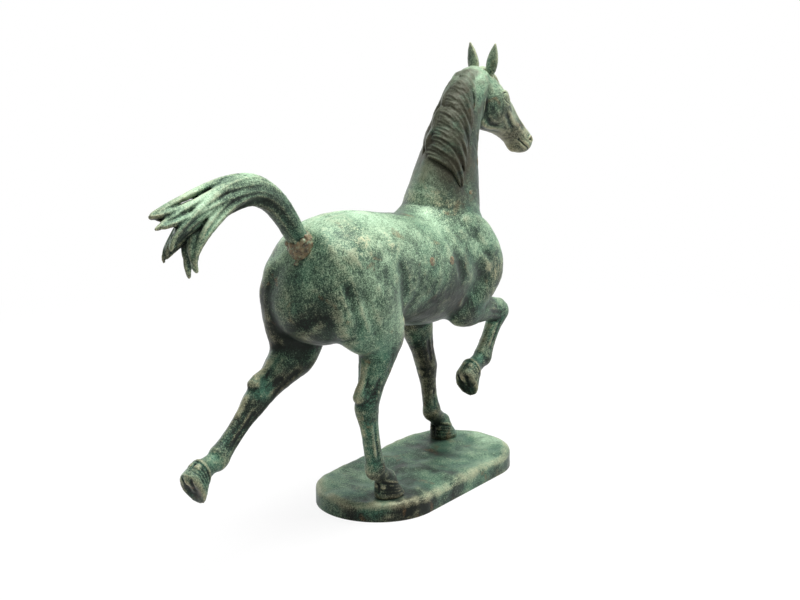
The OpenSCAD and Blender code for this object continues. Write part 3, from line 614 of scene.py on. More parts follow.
def plain_steel():
    material, shader, place = start_finish("plain_steel")
    turned = cloud(stretched(place, 1, 1, 9), 0.9, 4, 0.6)
    patch = cloud(place, 4, 3)
    feed(shader,
         base_color=mixed(over(patch, 0.4, 0.7), STEEL_BRIGHT, STEEL_DULL),
         roughness=0.30 + turned * 0.22,
         metallic=1.0 - over(patch, 0.55, 0.8) * 0.2,
         normal=bumped(turned, 0.06))
    return material


patina, filler, steel = patinated_bronze(), filler_bronze(), plain_steel()


def finished(mesh, material):
    mesh.materials.clear()
    mesh.materials.append(material)


def add_piece(name, mesh, nodes, material):
    piece = bpy.data.objects.new(name, mesh)
    bpy.context.scene.collection.objects.link(piece)
    finished(mesh, material)
    mesh.shade_smooth()
    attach(piece, "root")
    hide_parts(*nodes)
    return piece


# The horse's skin: everything but hair and ears, fused and smoothed in one

CASTINGS = ["body_casting", "neck_casting", "head_casting", *LEGS]
PINS = ["neck_pins", "head_pin", "foreleg_pins", "hind_leg_pins", "tail_pin"]
PIN_RING = 3.4
PIN_STRAY = 4


def filed_pins(node, surface, proud, most=PIN_STRAY):
    """A copy of pins, filed off where they stand further out of a surface than asked for"""
    pins = copied(node)
    for group in islands(pins):
        points = np.array([v.co for v in group]) / MM
        middle = Vector(points.mean(0))
        axis = Vector(np.linalg.svd(points - points.mean(0), full_matrices=False)[2][0])
        for way in (axis, -axis):
            end = [v for v in group if (v.co / MM - middle).dot(way) > 0]
            tip = max((v.co / MM - middle).dot(way) for v in end)
            across = way.orthogonal().normalized() * PIN_RING
            starts = [middle + way * (tip + most) + turn @ across for turn in turns_about(way, 6)]
            spots = [surface.ray_cast(start, -way)[0] for start in starts]
            levels = [(spot - middle).dot(way) for spot in spots if spot is not None]
            levels = [level for level in levels if abs(level - tip) < most]
            if levels and tip > np.mean(levels) + proud:
                spare = tip - np.mean(levels) - proud
                bmesh.ops.translate(pins, vec=-way * spare * MM, verts=end)
    return baked(pins)


# Hooves, in their own frame: the coronet's middle is the origin, the toe is ahead and the sole below
HOOF_H = 12
CORONET_SLANT = 20
CORONET_L, CORONET_W = 8.25, 7.6
SOLE_GROWS_L, SOLE_GROWS_W = 4.25, 1.9
CORONET_DOME = (8.0, 7.4, 6.0, 1)


def hoof_place(joints, hoof_turn):
    return Matrix.Translation(joints[-1]) @ Matrix.Rotation(math.radians(hoof_turn), 4, "Y")


def hoof_ring(hoof, share):
    """A ring round a hoof, from its coronet at 0 to its sole at 1"""
    slant = Matrix.Rotation(math.radians(CORONET_SLANT * (1 - share)), 4, "Y")
    middle = Vector((SOLE_GROWS_L * share, 0, -HOOF_H * share))
    length, width = CORONET_L + SOLE_GROWS_L * share, CORONET_W + SOLE_GROWS_W * share
    turns = [2 * math.pi * k / 24 for k in range(25)]
    ring = [Vector((length * math.cos(a), width * math.sin(a), 0)) for a in turns]
    return [hoof @ (middle + slant @ spot) for spot in ring]


# Pins are filed under the castings' faces first, and a dome closes each coronet
casting_faces = ray_target(copied(*CASTINGS))
rough_cast = copied(*CASTINGS, "core_plugs")
for name in PINS:
    rough_cast.from_mesh(filed_pins(name, casting_faces, -0.2))
for joints, _, hoof_turn in LEGS.values():
    dome = Matrix.Rotation(math.radians(CORONET_SLANT), 4, "Y") @ Matrix.Diagonal(CORONET_DOME)
    bmesh.ops.create_icosphere(rough_cast, subdivisions=3, radius=1,
                               matrix=Matrix.Scale(MM, 4) @ hoof_place(joints, hoof_turn) @ dome)
horse = even_skin(rough_cast, SKIN_VOXEL)

LEG_REACH = 26
HEAD_LOWEST = 230


def leg_share(skin, name):
    """How far points belong to a leg, from 0 above its parting to 1 below it"""
    joints, first, _ = LEGS[name]
    point, along = partings[name]
    share = np.zeros(len(skin.points))
    index, _, _ = skin.reach([point, *joints[first + 1:]], LEG_REACH)
    depth = (skin.points[index] - np.array(point)) @ np.array(along)
    share[index] = smoothstep(-10, 8, depth)
    return share


def head_share(skin):
    depth = (skin.points - np.array(HEAD_PART[0])) @ np.array(HEAD_PART[1])
    return smoothstep(-6, 4, depth) * (skin.points[:, 2] > HEAD_LOWEST)


def slim_share(skin):
    """How far points belong to the head or a leg"""
    shares = [leg_share(skin, name) for name in LEGS]
    return np.max([*shares, head_share(skin)], axis=0)


def finer(skin, share):
    """Splits the quads where a share is over a half, for finer work"""
    skin.normals()
    shape = opened(skin.mesh)
    edges = [e for e in shape.edges if min(share[v.index] for v in e.verts) > 0.5]
    bmesh.ops.subdivide_edges(shape, edges=edges, cuts=1, use_grid_fill=True)
    return Skin(baked(shape))


# Rounds of smoothing reach alike on coarse and fine skins
ROUNDS = 1 / SKIN_VOXEL ** 2
slim = slim_share(horse)[:, None]
horse.relax(int(60 * ROUNDS), 1 - slim)
horse.relax(int(9 * ROUNDS) + 1, slim)
under = horse.hits()

# Where rays start, clear of the statuette or of a leg
CLEAR_SIDE, CLEAR_FRONT, CLEAR_TOP = 120, 200, 400
CLEAR_FACE, CLEAR_LEG_SIDE, CLEAR_LEG = 60, 28, 30
STROKE_POINTS = 14


def cast(start, way):
    return under.ray_cast(start, way)[0]


def from_side(side, spots):
    """Points of the skin under x, z spots on a side view"""
    return [cast(Vector((x, side * CLEAR_SIDE, z)), Vector((0, -side, 0))) for x, z in spots]


def from_front(spots):
    return [cast(Vector((CLEAR_FRONT, y, z)), Vector((-1, 0, 0))) for y, z in spots]


def from_above(spots):
    return [cast(Vector((x, y, CLEAR_TOP)), Vector((0, 0, -1))) for x, y in spots]


def on_face(side, spots):
    """Points under x, z spots in the head's own frame, seen from a side"""
    way = on_head.to_3x3() @ Vector((0, -side, 0))
    return [cast(on_head @ Vector((x, side * CLEAR_FACE, z)), way) for x, z in spots]


def front_of(joints, bone):
    """The way to the front of a bone"""
    way = joints[bone + 1] - joints[bone]
    return Vector((-way.z, 0, way.x)).normalized()


def beside(joints, bone, side, spots):
    """Points on a side of a bone, at shares of its way and millimetres before it"""
    start, way = joints[bone], joints[bone + 1] - joints[bone]
    front, out = front_of(joints, bone), Vector((0, side, 0))
    return [cast(start + way * share + front * ahead + out * CLEAR_LEG_SIDE, -out) for share, ahead in spots]


def behind(joints, bone, shares):
    """Points on the back of a bone, at shares of its way"""
    start, way, front = joints[bone], joints[bone + 1] - joints[bone], front_of(joints, bone)
    return [cast(start + way * share - front * CLEAR_LEG, front) for share in shares]


def draw(spots, width, height):
    """Raises a ridge through spots of the skin, or a mound on a lone one"""
    found = [spot for spot in spots if spot is not None]
    if len(found) > 1:
        horse.stroke(curve_through(found, STROKE_POINTS), width, height)
    elif found and len(spots) == 1:
        horse.swell(found[0], width, height)


# Muscles of the trunk and neck

# A stroke has spots, a width and a height. A lone spot is a mound. A height under 0 makes a groove or a dip.
# On a side, a spot is x and z.
SIDE_STROKES = [
    ([(-118, 178), (-100, 187), (-80, 184)], 13, 1.2),  # croup
    ([(-128, 166), (-126, 148), (-114, 130)], 8, 1.1),  # buttock
    ([(-122, 171), (-117, 152), (-106, 132)], 5, -1.2),  # furrow before the buttock
    ([(-112, 164), (-104, 146), (-92, 128)], 5, -0.7),  # furrow in the thigh
    ([(-74, 176), (-66, 154), (-63, 134)], 8, -1.4),  # hollow of the flank
    ([(-66, 146), (-62, 136), (-56, 127)], 4, 0.9),  # fold of the flank
    ([(-77, 187)], 8, 0.9),  # point of the hip
    ([(-88, 152)], 20, 1.4),  # thigh
    ([(6, 192), (15, 173), (29, 157), (44, 148)], 7, 0.9),  # ridge of the shoulder blade
    ([(-8, 188), (-4, 168), (4, 146)], 7, -1.1),  # furrow behind the shoulder
    ([(20, 186), (28, 170), (40, 158)], 4, -0.6),  # furrow before the shoulder
    ([(12, 152)], 17, 1.3),  # upper arm
    ([(13, 130)], 6, 0.7),  # elbow
    *[([(-14 - 9 * k, 178), (-17 - 9 * k, 160), (-21 - 9 * k, 140)], 3.6, 0.18) for k in range(5)],  # ribs
    ([(59, 246), (57, 228), (54, 208), (50, 186)], 4.6, -0.9),  # groove beside the windpipe
    ([(44, 252), (36, 234), (29, 216), (23, 200)], 5, -0.5),  # furrow under the crest
    ([(50, 246), (56, 240), (60, 238)], 2.2, -0.5),  # crease of the throat
    ([(45, 236), (53, 229), (58, 227)], 2.2, -0.4),  # crease under it
]
BREAST_MOUND = ((10, 146), 12, 1.2)
BREAST_FURROW = ([(0, 166), (0, 146), (0, 126)], 7, -0.9)
BACK_STROKES = [
    ([(-112, 0), (-90, 0), (-68, 0)], 5, -0.8),  # furrow of the croup
    ([(-68, 0), (-40, 0), (-6, 0)], 4.5, -0.5),  # furrow of the back
    ([(2, 0), (14, 0), (24, 0)], 7, 0.7),  # withers
]
THROAT, WITHERS = (48, 0, 194), (0, 0, 208)

far_from_lifted = 1 - horse.near(partings["right_foreleg"][0], 18, 30)
horse.fill(int(30 * ROUNDS), (1 - slim[:, 0]) * far_from_lifted)
horse.fill(int(260 * ROUNDS), horse.near(THROAT, 14, 44, (1, 0.7, 0.8)))
horse.fill(int(400 * ROUNDS), horse.near(WITHERS, 16, 48, (1, 0.8, 0.9)))
under = horse.hits()
for side in (LEFT, RIGHT):
    for spots, width, height in SIDE_STROKES:
        draw(from_side(side, spots), width, height)
    (y, z), width, height = BREAST_MOUND
    draw(from_front([(side * y, z)]), width, height)
spots, width, height = BREAST_FURROW
draw(from_front(spots), width, height)
for spots, width, height in BACK_STROKES:
    draw(from_above(spots), width, height)


# Legs and hooves, on a finer skin

# On a leg, a spot is a share of a bone's way and millimetres before it
CANNON_STROKES = [
    ([(0.16, -1.6), (0.5, -1.4), (0.86, -1.9)], 1.8, -0.38),  # groove before the tendon
    ([(0.2, -4.0), (0.5, -3.6), (0.84, -4.2)], 1.8, 0.25),  # tendon
]
GASKIN_STROKES = [
    ([(0.56, -2.6), (0.76, -3.8), (0.93, -4.6)], 3.6, -0.85),  # hollow before the hock's cord
    ([(0.30, 2.0), (0.56, 0.8), (0.84, 0.4)], 3.0, -0.35),  # furrow down the gaskin
]
FOREARM_STROKES = [
    ([(0.46, -2.2), (0.68, -1.8), (0.9, -1.6)], 2.8, -0.5),  # furrow at the back of the forearm
    ([(0.46, 2.8), (0.68, 2.0), (0.88, 1.4)], 2.6, -0.3),  # furrow at its front
]
HOCK_CORD = ((0.45, 0.62, 0.78, 0.92), 4.2, 1.3)
HOCK_LIGAMENT = ((0.04, 0.16, 0.3, 0.46), 3.6, 0.8)
CORONET_BAND = (0.03, 1.8, 0.30)
HOOF_GROOVES = [(0.17, 1.0, -0.22), (0.36, 0.9, -0.16), (0.52, 0.9, -0.16), (0.68, 0.9, -0.16)]
HEEL_Y = 3.2
SOLE_EDGES = ((-7, 4.2), (0, 3.2), (7, 1.2))


def sculpt_hock(joints):
    for bone, (shares, width, height) in ((1, HOCK_CORD), (2, HOCK_LIGAMENT)):
        draw(behind(joints, bone, shares), width, height)
    horse.fill(30, horse.near(joints[2], 12, 18))


def sculpt_knee(joints):
    ahead = front_of(joints, 0)
    draw([cast(joints[1] + ahead * CLEAR_LEG, -ahead)], 4.5, 0.6)
    draw([cast(joints[1] - ahead * CLEAR_LEG, ahead)], 4, 0.7)


def sculpt_sole(hoof):
    """The hollow, the frog and its two clefts under a lifted hoof"""
    horse.swell(hoof @ Vector((4.6, 0, -HOOF_H)), 8.4, -1.5)
    horse.stroke([hoof @ Vector((x, 0, -HOOF_H)) for x in (-7, -2, 3, 8)], 3.0, 1.5)
    for side in (RIGHT, LEFT):
        cleft = [hoof @ Vector((x, side * y, -HOOF_H)) for x, y in SOLE_EDGES]
        horse.stroke(cleft, 1.2, -0.9)


def sculpt_hoof(joints, hoof_turn):
    """Coronet band, growth rings, heels and, where it shows, the sole"""
    hoof = hoof_place(joints, hoof_turn)
    horse.fill(36, horse.near(joints[-1], 9, 14))
    horse.relax(36, horse.near(hoof @ Vector((3, 0, -7)), 13, 18)[:, None], returns=1)
    for share, width, height in (CORONET_BAND, *HOOF_GROOVES):
        horse.stroke(hoof_ring(hoof, share), width, height, taper=False)
    for side in (RIGHT, LEFT):
        horse.swell(hoof @ Vector((-7.2, side * HEEL_Y, -2.6)), 3.4, 0.7)
    horse.stroke([hoof @ Vector((-8, 0, 0)), hoof @ Vector((-8.6, 0, -9))], 1.5, -0.7)
    if hoof_turn:
        sculpt_sole(hoof)


horse = finer(horse, slim_share(horse))
slim = slim_share(horse)
horse.relax(5, slim[:, None])
for joints in (planted_hind, trailing_hind):
    horse.relax(30, horse.near(joints[2], 8, 17)[:, None], returns=1)
under = horse.hits()
for joints, _, hoof_turn in LEGS.values():
    hind = len(joints) == 5
    cannon = len(joints) - 3
    for side in (LEFT, RIGHT):
        for spots, width, height in CANNON_STROKES:
            draw(beside(joints, cannon, side, spots), width, height)
        for spots, width, height in GASKIN_STROKES if hind else FOREARM_STROKES:
            draw(beside(joints, cannon - 1, side, spots), width, height)
    if hind:
        sculpt_hock(joints)
    else:
        sculpt_knee(joints)
    sculpt_hoof(joints, hoof_turn)


# Head, on a still finer skin round the eyes and nostrils

EYE, NOSTRIL, FINE_REACH = (20, 13, 5), (66, 8, -2), 9
# On the face, a spot is x and z in the head's own frame
EYE_STROKES = [
    ([(13.6, 4.2), (16.6, 8.0), (20.4, 9.4), (24.2, 7.8), (27.2, 3.6)], 1.7, 0.75),  # brow
    ([(14.6, 3.6), (17.6, 1.7), (20.8, 1.2), (24.0, 1.9), (27.0, 3.2)], 1.7, 0.32),  # lower lid
    ([(14.8, 4.3), (17.2, 6.9), (20.4, 7.9), (23.6, 6.7), (26.2, 3.8)], 0.7, -0.55),  # crease over the eye
    ([(15.0, 4.1), (17.8, 2.8), (20.8, 2.4), (23.8, 2.9), (26.2, 3.7)], 0.6, -0.40),  # crease under it
    ([(11.0, 9.0)], 4.0, -0.9),  # hollow behind the brow
]
EAR_BASE = (0.8, 7.6, 10.4)
FACE_STROKES = [
    ([(27, -0.6), (36, -1.6), (46, -2.4)], 2.6, 0.55),  # cheekbone's ridge
    ([(27, -4.6), (37, -5.0), (47, -5.4)], 3.2, -0.4),  # hollow under it
    ([(29, 8.0), (44, 6.6), (58, 5.0)], 2.0, 0.5),  # bridge of the nose
    ([(31, 4.2), (44, 3.0), (57, 2.4)], 3.4, -0.4),  # hollow beside it
    ([(2, -5), (4.5, -13), (11, -19), (22, -19.6), (33, -13.5), (44, -10)], 3.0, 0.9),  # jaw
    ([(6, -6), (8.5, -12), (14.5, -15.6), (23, -15.8), (32, -10.6)], 2.8, -0.6),  # hollow inside the jaw
    ([(63.6, -1.4), (64.0, 1.6), (66.2, 3.2), (68.6, 2.4), (69.6, 0.2)], 1.2, 0.75),  # nostril's rim
    ([(65.2, -1.0), (65.9, 0.9), (67.2, 1.2), (68.2, 0.2)], 1.5, -1.7),  # nostril
    ([(72, -5.2), (68, -5.6), (63, -6.2), (57, -6.6)], 1.1, -0.9),  # mouth
    ([(71, -3.4), (66, -4.0), (59, -4.8)], 1.6, 0.35),  # upper lip
    ([(70, -7.4), (65, -7.9), (59, -8.3)], 1.6, 0.35),  # lower lip
    ([(56.4, -6.6)], 1.8, -0.6),  # corner of the mouth
]

features = [on_head @ Vector((x, side * y, z)) for side in (LEFT, RIGHT) for x, y, z in (EYE, NOSTRIL)]
nearest = np.min([horse.gap(spot) for spot in features], axis=0)
horse = finer(horse, (nearest < FINE_REACH).astype(float))
slim = slim_share(horse)
under = horse.hits()
for side in (LEFT, RIGHT):
    for spots, width, height in EYE_STROKES:
        draw(on_face(side, spots), width, height)
    x, y, z = EAR_BASE
    horse.swell(on_head @ Vector((x, side * y, z)), 7, 1.2)
    for spots, width, height in FACE_STROKES:
        draw(on_face(side, spots), width, height)

roughen(horse, 15, 0.14, 3, 1 - 0.5 * slim)
roughen(horse, 5, 0.05, 4)
weather(horse, SKIN_VOXEL, finer_share=(slim > 0.5).astype(float))
under = horse.hits()


# The skin is parted into its castings

LEG_GIRTH, NECK_GIRTH = 21, 40
TRUNK_SHARE = 0.3
NECK_LOWEST = 200
CUT_SNAP = 0.00001 * MM


def cut_loose(shape, point, along, line, girth):
    """Cuts across a limb and parts the skin from there to the end of the limb's line"""
    near = [f for f in shape.faces if (f.calc_center_median() / MM - point).length < girth * 1.6]
    geom = list({v for f in near for v in f.verts} | {e for f in near for e in f.edges} | set(near))
    cut = set(bmesh.ops.bisect_plane(
        shape, geom=geom, dist=CUT_SNAP, plane_co=point * MM, plane_no=along)["geom_cut"])
    skin = list(shape.faces)
    middles = np.array([f.calc_center_median() for f in skin]) / MM
    line = as_array(line)
    gaps, _ = from_line(middles, line)
    allowed = {f for f, gap in zip(skin, gaps) if gap < girth}
    first = skin[int(np.argmin(np.linalg.norm(middles - line[-1], axis=1)))]
    region, queue = {first}, [first]
    for face in queue:
        for edge in face.edges:
            if edge not in cut:
                for other in edge.link_faces:
                    if other in allowed and other not in region:
                        region.add(other)
                        queue.append(other)
    borders = {e for f in region for e in f.edges if any(other not in region for other in e.link_faces)}
    bmesh.ops.split_edges(shape, edges=list(borders))


def casting_of(group, whole):
    """Which casting a loose part of the skin is"""
    middle = sum((v.co for v in group), Vector()) / len(group) / MM
    if len(group) > TRUNK_SHARE * whole:
        return "body_casting"
    if middle.z > NECK_LOWEST:
        return "head_casting" if (middle - HEAD_PART[0]).dot(HEAD_PART[1]) > 0 else "neck_casting"
    return min(LEGS, key=lambda name: (sum(LEGS[name][0][-2:], Vector()) / 2 - middle).length)


parted = opened(horse.mesh)
for name, (joints, first, _) in LEGS.items():
    cut_loose(parted, *partings[name], [partings[name][0], *joints[first + 1:]], LEG_GIRTH)
cut_loose(parted, *NECK_PART, [NECK_PART[0], HEAD_PART[0], POLL, MUZZLE], NECK_GIRTH)
cut_loose(parted, *HEAD_PART, [HEAD_PART[0], POLL, MUZZLE], NECK_GIRTH)
parted.verts.index_update()
groups = {casting_of(group, len(parted.verts)): {v.index for v in group} for group in islands(parted)}
for name, inside in groups.items():
    piece = parted.copy()
    bmesh.ops.delete(piece, geom=[v for v in piece.verts if v.index not in inside], context="VERTS")
    bmesh.ops.holes_fill(piece, edges=sharp_rims(piece))
    add_piece(name.replace("_casting", "") + "_skin", baked(piece), [name], patina)
parted.free()


# Ears

for side in ("left", "right"):
    ear = even_skin(copied(f"{side}_ear"), EAR_VOXEL)
    ear.relax(5)
    roughen(ear, 3.5, 0.05, 7)
    weather(ear, EAR_VOXEL, FINE_RELIEF)
    add_piece(f"{side}_ear_leaf", ear.mesh, [f"{side}_ear"], patina)


# The braze at the tail's root, with lumps that close it round the tail

BRAZE_LUMPS = 22
GOLDEN_TURN = 2.4

braze = copied("tail_braze")
root_axis = (TAIL_LINE[1] - TAIL_LINE[0]).normalized()
across = root_axis.cross(Vector((0, 1, 0)))
for k in range(BRAZE_LUMPS):
    turn = GOLDEN_TURN * k
    way = Vector((0, 1, 0)) * math.cos(turn) + across * math.sin(turn)
    place = on_curve(TAIL_LINE, 0.92 + 0.16 * math.sin(5 * k)) + way * (6.2 + 0.5 * math.sin(3 * k))
    size = 1.9 + 0.6 * math.sin(7 * k)
    lump = Matrix.Translation(place * MM)
    bmesh.ops.create_icosphere(braze, subdivisions=2, radius=size * MM, matrix=lump)
braze = even_skin(braze, BRAZE_VOXEL)
braze.relax(4)
roughen(braze, 3, 0.16, 7)
weather(braze, BRAZE_VOXEL, FINE_RELIEF)
add_piece("tail_root_braze", braze.mesh, ["tail_braze"], filler)


# Hair

LOCK_LOBES, LOCK_GROOVE = 5, 0.22
THINNEST = 0.3


def lock_section():
    """The grooved cross-section of a lock, one metre in radius"""
    ring = bpy.data.curves.new("section", "CURVE")
    line = ring.splines.new("POLY")
    count = LOCK_LOBES * 8
    line.points.add(count - 1)
    line.use_cyclic_u = True
    for k, point in enumerate(line.points):
        turn = 2 * math.pi * k / count
        out = 1 - LOCK_GROOVE + LOCK_GROOVE * abs(math.sin(LOCK_LOBES * turn / 2)) ** 0.6
        point.co = (out * math.cos(turn), out * math.sin(turn), 0, 1)
    return bpy.data.objects.new("section", ring)


grooved = lock_section()


def locks(paths):
    """Grooved locks along paths of places, radii and twists, as one bmesh"""
    strands = bpy.data.curves.new("strands", "CURVE")
    strands.dimensions = "3D"
    strands.bevel_mode = "OBJECT"
    strands.bevel_object = grooved
    strands.use_fill_caps = True
    for path in paths:
        line = strands.splines.new("POLY")
        line.points.add(len(path) - 1)
        for point, (place, radius, twist) in zip(line.points, path):
            point.co = (*(place * MM), 1)
            point.radius = max(radius, THINNEST) * MM
            point.tilt = twist
    return opened(evaluated(bpy.data.objects.new("strands", strands)))


def hair_piece(name, node, paths):
    skin = even_skin(locks(paths), HAIR_VOXEL)
    skin.relax(2)
    skin.fill(9)
    roughen(skin, 4, 0.05, 11)
    weather(skin, HAIR_VOXEL, FINE_RELIEF)
    return add_piece(name, skin.mesh, [node], patina)


def lock_girth(f, root=0.45, tip=0.1):
    """How thick a lock is along its way, fullest before its middle"""
    rise = root + (1 - root) * min(f / 0.25, 1)
    return rise * (1 - (1 - tip) * max((f - 0.45) / 0.55, 0) ** 1.6)


# Mane: where it begins and ends along the neck's line, and its locks
MANE_FIRST, MANE_LAST, MANE_LOCKS = 2.65, 5.6, 11
MANE_LENGTH = 62
FALL_LENGTH = 36
NECK_STEP = 22.3
NECK_CLEAR = 70
LOWEST_ALONG = 0.8

# A lock's strands: shift along the crest, share of the lock's length, added sweep, radius, height,
# the angle where the strand begins, in degrees, and its phase
MANE_STRANDS = [
    (0, 1, 0, 3.7, 1.6, 84, 0),
    (0.10, 0.80, 0.05, 2.7, 2.8, 87, 2),
    (-0.10, 0.64, -0.04, 2.4, 2.9, 90, 4),
    (0.19, 0.90, 0, 1.9, 1.4, 86, 1),
]


def over_neck(t, angle, height):
    """A place over the neck: t along its line, the angle from the left side over the crest to the right"""
    middle = on_curve(NECK_LINE, t)
    left = Vector((0, 1, 0))
    way = left * math.cos(angle) + way_along(NECK_LINE, t, 0.05).cross(left) * math.sin(angle)
    spot, normal, _, _ = under.ray_cast(middle + way * NECK_CLEAR, -way)
    return spot + normal * height


def mane_path(t, length, sweep, radius, height, begin, phase):
    """A strand that falls from the crest down the right side"""
    path = []
    for k in range(16):
        f = k / 15
        angle = math.radians(begin + (180 - begin) * (1 - math.exp(-f * length / FALL_LENGTH)))
        along = t - sweep * f ** 1.5 * length / NECK_STEP + 0.05 * math.sin(5 * f + phase) * f
        full = lock_girth(f)
        place = over_neck(max(along, LOWEST_ALONG), angle, height * (0.35 + 0.65 * full))
        path.append((place, radius * full, 1.5 * f))
    return path


def crest_path(angle, radius, phase):
    """A strand that lies along the crest, with its ends sunk into the neck"""
    path = []
    for k in range(40):
        f = k / 39
        t = MANE_FIRST - 0.02 + (MANE_LAST - MANE_FIRST + 0.17) * f
        ends = min(1, 6 * f + 0.2, 6 * (1 - f) + 0.2)
        waved = math.radians(angle + 2 * math.sin(9 * t + phase))
        path.append((over_neck(t, waved, 0.2 - 1.6 * (1 - ends)), radius * ends, t))
    return path


mane_paths = []
for i in range(MANE_LOCKS):
    t = MANE_FIRST + (MANE_LAST - MANE_FIRST) * (i + 0.5) / MANE_LOCKS
    ends = min(1, 0.62 + 0.19 * min(i, MANE_LOCKS - 1 - i))
    length = MANE_LENGTH * (0.9 + 0.12 * math.sin(2.97 * i)) * (0.4 + 0.6 * ends)
    sweep = 0.42 + 0.06 * math.sin(1.92 * i)
    for shift, share, more_sweep, radius, height, begin, phase in MANE_STRANDS:
        mane_paths.append(mane_path(
            t + shift, length * share, sweep + more_sweep, radius * ends, height * ends, begin, i + phase))
mane_paths += [crest_path(74, 2.6, 0), crest_path(84, 3.2, 2)]
hair_piece("mane_locks", "mane_casting", mane_paths)

# Forelock: each lock's spread to the left, its length down the brow and its height off it
FORELOCKS = [(-3.4, 19, 0.6), (-1.8, 23, 1.1), (0, 26, 1.5), (1.8, 22, 1.1), (3.4, 20, 0.6), (0.8, 15, 2.0)]
FORELOCK_R, FORELOCK_ROOT = 2.3, -4


def over_brow(x, y, height):
    """A place over the brow, with x and y in the head's own frame"""
    down = on_head.to_3x3() @ Vector((0, 0, -1))
    spot, normal, _, _ = under.ray_cast(on_head @ Vector((x, y, CLEAR_FACE)), down)
    return spot + normal * height


def forelock_path(spread, length, height):
    path = []
    for k in range(12):
        f = k / 11
        x = FORELOCK_ROOT + (length - FORELOCK_ROOT) * f
        y = spread * (0.25 + 0.75 * f) + 0.5 * math.sin(4 * f + spread)
        path.append((over_brow(x, y, height * lock_girth(f)), FORELOCK_R * lock_girth(f), f))
    return path


hair_piece("forelock_locks", "forelock_casting", [forelock_path(*lock) for lock in FORELOCKS])

# Tail: how full it is along its line, and where its locks end
TAIL_FULL = [5.2, 5.6, 6.0, 6.8, 8.6, 10.6, 11.2, 9.4, 6.2, 2.0]
TAIL_TIPS = [Vector(p) for p in (
    (-251, 0, 217.5), (-236, 8.5, 196), (-229, -9.5, 191.5), (-245, -6, 205.5), (-221.5, 3.7, 184.5),
    (-248, 7, 224))]
TAIL_DEPTHS = (0.30, 0.62, 0.74, 0.80)
TAIL_LOCKS = 42
TAIL_LOCK_R, TAIL_LOCK_LEAST = 2.7, 0.7
TAIL_START = 0.5


def tail_path(i):
    """A lock that starts round the tail's line and is drawn off to a tip"""
    angle, depth = GOLDEN_TURN * i, TAIL_DEPTHS[i % len(TAIL_DEPTHS)]
    back = 0.22 * (0.5 + 0.5 * math.sin(2.3 * i))
    tip = TAIL_TIPS[i % len(TAIL_TIPS)].lerp(on_curve(TAIL_LINE, 6.4), back)
    jitter = Vector((0, 2.2 * math.sin(3.1 * i), 1.8 * math.cos(1.9 * i)))
    last = (len(TAIL_LINE) - 1) * (0.95 + 0.05 * math.sin(1.7 * i))
    side = Vector((0, 1, 0))
    path = []
    for k in range(28):
        f = k / 27
        t = TAIL_START + (last - TAIL_START) * f
        full = np.interp(t, range(len(TAIL_FULL)), TAIL_FULL)
        turn = angle + 0.6 * f
        upward = side.cross(way_along(TAIL_LINE, t, 0.1))
        out = (side * math.cos(turn) + upward * math.sin(turn)) * (full * depth)
        drawn = float(smoothstep(0.42, 1.0, np.array(f))) ** 1.15
        loose = (1 - f) ** 0.7
        place = (on_curve(TAIL_LINE, t) + out).lerp(tip + (out * 0.5 + jitter) * loose, drawn)
        path.append((place, max(TAIL_LOCK_R * lock_girth(f, 0.8, 0.22), TAIL_LOCK_LEAST), 2.2 * f))
    return path


hair_piece("tail_locks", "tail_casting", [tail_path(i) for i in range(TAIL_LOCKS)])


# Ground plate: uneven on top, level under the hooves, and sawn off flat below

SAW_SPARE = 3
SOLE_AHEAD = 4.2

blank = copied("ground_plate")
underside = [v for v in blank.verts if v.co.z < 0.01 * MM]
bmesh.ops.translate(blank, vec=(0, 0, -SAW_SPARE * MM), verts=underside)
plate = even_skin(blank, PLATE_VOXEL)
plate.relax(3)
x, y, z = plate.points.T
soles = [planted_hind[-1], planted_fore[-1]]
off_soles = np.min([np.hypot(x - sole.x - SOLE_AHEAD, y - sole.y) for sole in soles], axis=0)
flat = plate.points * (1, 1, 0)
relief = ripple(flat, 34, 21) * 0.5 + ripple(flat, 13, 22) * 0.12
plate.points[:, 2] += smoothstep(8.5, 12, z) * smoothstep(13, 19, off_soles) * (relief - 0.3)
roughen(plate, 12, 0.16, 23, smoothstep(1.5, 4, plate.points[:, 2]))
weather(plate, PLATE_VOXEL)
sawn = opened(plate.mesh)
everything = [*sawn.verts, *sawn.edges, *sawn.faces]
bmesh.ops.bisect_plane(sawn, geom=everything, dist=CUT_SNAP, plane_no=(0, 0, 1), clear_inner=True)
bmesh.ops.triangle_fill(sawn, edges=sharp_rims(sawn), normal=(0, 0, -1), use_beauty=True)
add_piece("ground_plate_relief", baked(sawn), ["ground_plate"], patina)


# Plugs, pins and fixings

PLUG_R = 3.0
PLUG_CROWN = 0.12
PLUG_CLEAR = 12
DOWEL_STRAY = 9

plugs, plug_heads = copied("core_plugs"), bmesh.new()
for group in islands(plugs):
    points = np.array([v.co for v in group]) / MM
    middle = Vector(points.mean(0))
    out = Vector(np.linalg.svd(points - points.mean(0), full_matrices=False)[2][2])
    out *= math.copysign(1, out.y * middle.y)
    across = out.orthogonal().normalized() * 0.8 * PLUG_R
    a, b, c = (cast(middle + out * PLUG_CLEAR + turn @ across, -out) for turn in turns_about(out, 3))
    normal = (b - a).cross(c - a)
    lie = Matrix.Translation((a + b + c) / 3 * MM) @ normal.to_track_quat("Z", "Y").to_matrix().to_4x4()
    bmesh.ops.create_uvsphere(plug_heads, u_segments=28, v_segments=12, radius=PLUG_R * MM,
                              matrix=lie @ Matrix.Diagonal((1, 1, PLUG_CROWN, 1)))
plugs.free()
add_piece("core_plug_heads", baked(plug_heads), ["core_plugs"], filler)

for name in PINS:
    add_piece(name + "_filed", filed_pins(name, under, 0.2), [name], filler)
pegs = filed_pins("hair_dowels", under, 0.5, DOWEL_STRAY)
add_piece("hair_dowel_pegs", pegs, ["hair_dowels"], filler)

